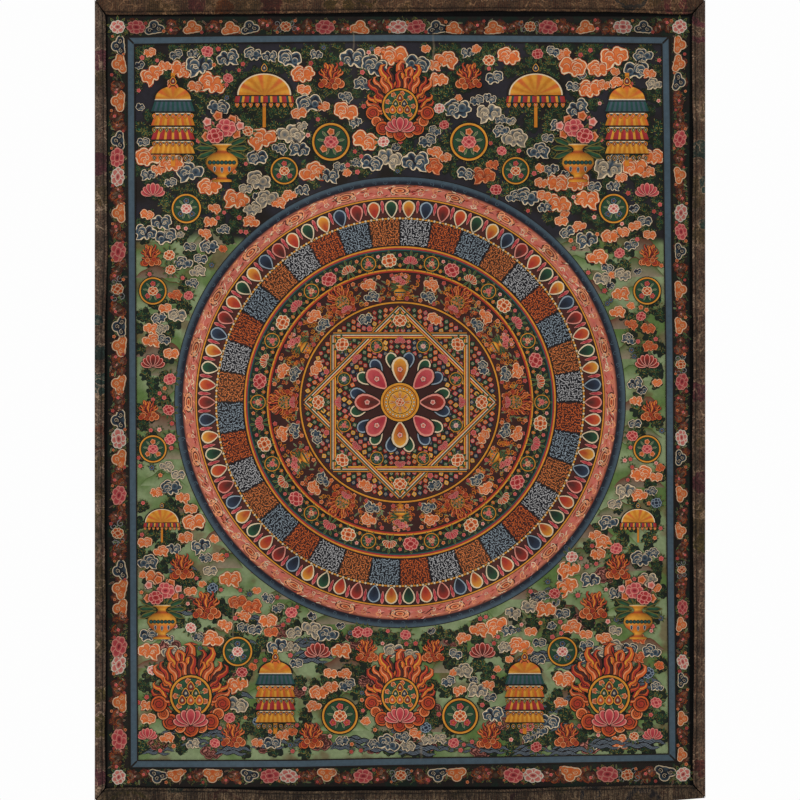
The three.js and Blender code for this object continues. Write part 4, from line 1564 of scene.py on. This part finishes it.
def brocade_strip(side, k, material):
    """A folded strip: its section is carried from one mitre to the other, and each point lies on
    the line between the outer and the inner edge. The inner edge follows the strip's bow, with a
    fine ripple of two sines along it, and two more sines puff up the strip's upper side."""
    outer, inner = strip_corners()
    a, b = outer[k], outer[(k + 1) % 4]
    c, d = inner[k], inner[(k + 1) % 4]
    length = np.linalg.norm(b - a)
    along = (b - a) / length
    inwards = np.array([along[1], -along[0]])
    steps = 200
    t = np.linspace(0, 1, steps + 1)[:, None]
    out = a + (b - a) * t
    if side == "bottom":
        out[:, 1] = lower_edge(out[:, 0])
    bow = eased(BOWS[side], t) + 0.12 * np.sin(t * 97) + 0.1 * np.sin(t * 41 + 1)
    fold = c + (d - c) * t - inwards * bow
    width = ((fold - out) @ inwards)[:, None]
    which, far, up = np.array(SECTION, float).T
    share = np.where(which == 1, 1 - far / width, far / width)
    # The fold is softly rounded near the mitres, so it draws back there.
    draw = 0.9 * np.maximum(0, 1 - np.minimum(t, 1 - t) * length / 6.0) ** 2 * (share > 0.6)
    share = share - draw / width
    pull = (MITRE_GAP_OUTER + (MITRE_GAP_INNER - MITRE_GAP_OUTER) * share) * (1 - 2 * t)
    flat = out[:, None] + (fold - out)[:, None] * share[..., None] + along * pull[..., None]
    puff = (0.06 * np.sin(t * 211) + 0.05 * np.sin(t * 83 + 2)) * (up > 1.2)
    y = billow(flat[..., 0], flat[..., 1]) - CANVAS_THICK / 2 - SEAM_GAP - up - puff
    points = np.stack([flat[..., 0], y, flat[..., 1]], 2).reshape(-1, 3)
    count = len(SECTION)
    points = np.concatenate([points, [points[:count].mean(0), points[-count:].mean(0)]])
    here, after = np.arange(count), (np.arange(count) + 1) % count
    step = np.arange(steps)[:, None] * count
    first, second = (step + here).ravel(), (step + after).ravel()
    last = steps * count
    start_cap = np.stack([here, after, np.full(count, last + count)], 1)
    end_cap = np.stack([last + after, last + here, np.full(count, last + count + 1)], 1)
    faces = np.concatenate([
        np.stack([second, first, first + count], 1),
        np.stack([second, first + count, second + count], 1), start_cap, end_cap,
    ])
    # Painted shade, times each strip's fading: darkest in the groove behind the fold and under the fold
    # itself, dark on the strip's underside and at its capped ends, with a thin darker line further back.
    back = np.where(which == 1, far, 9.0)
    dark = 1 - 0.85 * np.exp(-(((back - 2.55) / 0.45) ** 2))
    dark = dark - 0.6 * (up < 1) - 0.25 * (np.abs(back - 3.5) < 0.5)
    colours = np.tile(np.append(dark, 2 * [0.3]).clip(0.15, 1)[:, None], 3) * FADED[side]
    fold_shade_and_fading = np.concatenate([np.tile(colours[:count], (steps + 1, 1)), colours[count:]])
    low = np.stack([np.repeat(np.arange(steps), count) / steps, np.tile(here, steps) / count * 0.94], 1)
    ahead, aside = np.array([1 / steps, 0]), np.array([0, 0.94 / count])
    uv = [np.stack([low + aside, low, low + ahead], 1)]
    uv.append(np.stack([low + aside, low + ahead, low + ahead + aside], 1))
    for spot in ((0.03, 0.97), (0.09, 0.97)):
        rim = circle(count, 0.022, spot)
        uv.append(np.stack([rim, np.roll(rim, -1, axis=0), np.broadcast_to(spot, rim.shape)], 1))
    # The corners' colours carry the painted shade of the groove, the fold and the ends.
    piece = new_piece(side + "_brocade", points, faces, material, np.concatenate(uv), fold_shade_and_fading[faces])
    piece.data.shade_smooth()
    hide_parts("brocade_" + side)


brocade = brocade_material()
for k, side in enumerate(("top", "right", "bottom", "left")):
    brocade_strip(side, k, brocade)


# Stage, light and camera

ROOM_SEEN, ROOM_LIGHT = 0.985, 0.62


def stage():
    """A plain pale floor well below, even white light all round, and two soft lamps."""
    bpy.ops.mesh.primitive_plane_add(size=3.0, location=(0, 0, -1.0))
    floor = bpy.context.object
    floor.name = "floor"
    material, surface, *_ = new_material("pale_floor")
    join(surface, Base_Color=(0.78, 0.77, 0.75, 1), Roughness=0.8)
    floor.data.materials.append(material)

    # The camera sees a white room, and the cloth is lit by a dimmer one.
    world = bpy.data.worlds.new("white_room")
    bpy.context.scene.world = world
    world.use_nodes = True
    start = Value(world.node_tree)
    seen = start.node("LightPath")
    background = world.node_tree.nodes["Background"]
    background.inputs["Color"].default_value = (1, 1, 1, 1)
    strength = seen * (ROOM_SEEN - ROOM_LIGHT) + ROOM_LIGHT
    world.node_tree.links.new(strength.socket, background.inputs["Strength"])

    lamps = (("key", (-1.3, -2.0, 0.9), 17, 1.2), ("fill", (1.7, -2.4, -0.1), 5, 1.8))
    for name, at, energy, size in lamps:
        light = bpy.data.lights.new(name, "AREA")
        light.energy, light.size = energy, size
        lamp = bpy.data.objects.new(name, light)
        bpy.context.scene.collection.objects.link(lamp)
        lamp.location = at
        x, y, z = -at[0], -at[1], -HEIGHT * MM / 2 - at[2]
        lamp.rotation_euler = (math.atan2(math.hypot(x, y), -z), 0, math.atan2(y, x) - math.pi / 2)


def camera():
    """Square to the cloth and far off, so that the frame is as high as the cloth."""
    # The frame cuts 0.4 mm off the cloth at its top and at its foot.
    distance = 3.0
    data = bpy.data.cameras.new("camera")
    data.sensor_width = 36
    data.lens = 36 * distance / ((HEIGHT - 0.8) * MM)
    made = bpy.data.objects.new("camera", data)
    made.location = (0.0, -distance, -HEIGHT * MM / 2)
    made.rotation_euler = (math.pi / 2, 0, 0)
    bpy.context.scene.collection.objects.link(made)
    bpy.context.scene.camera = made


stage()
camera()
bpy.context.scene.view_settings.view_transform = "Standard"
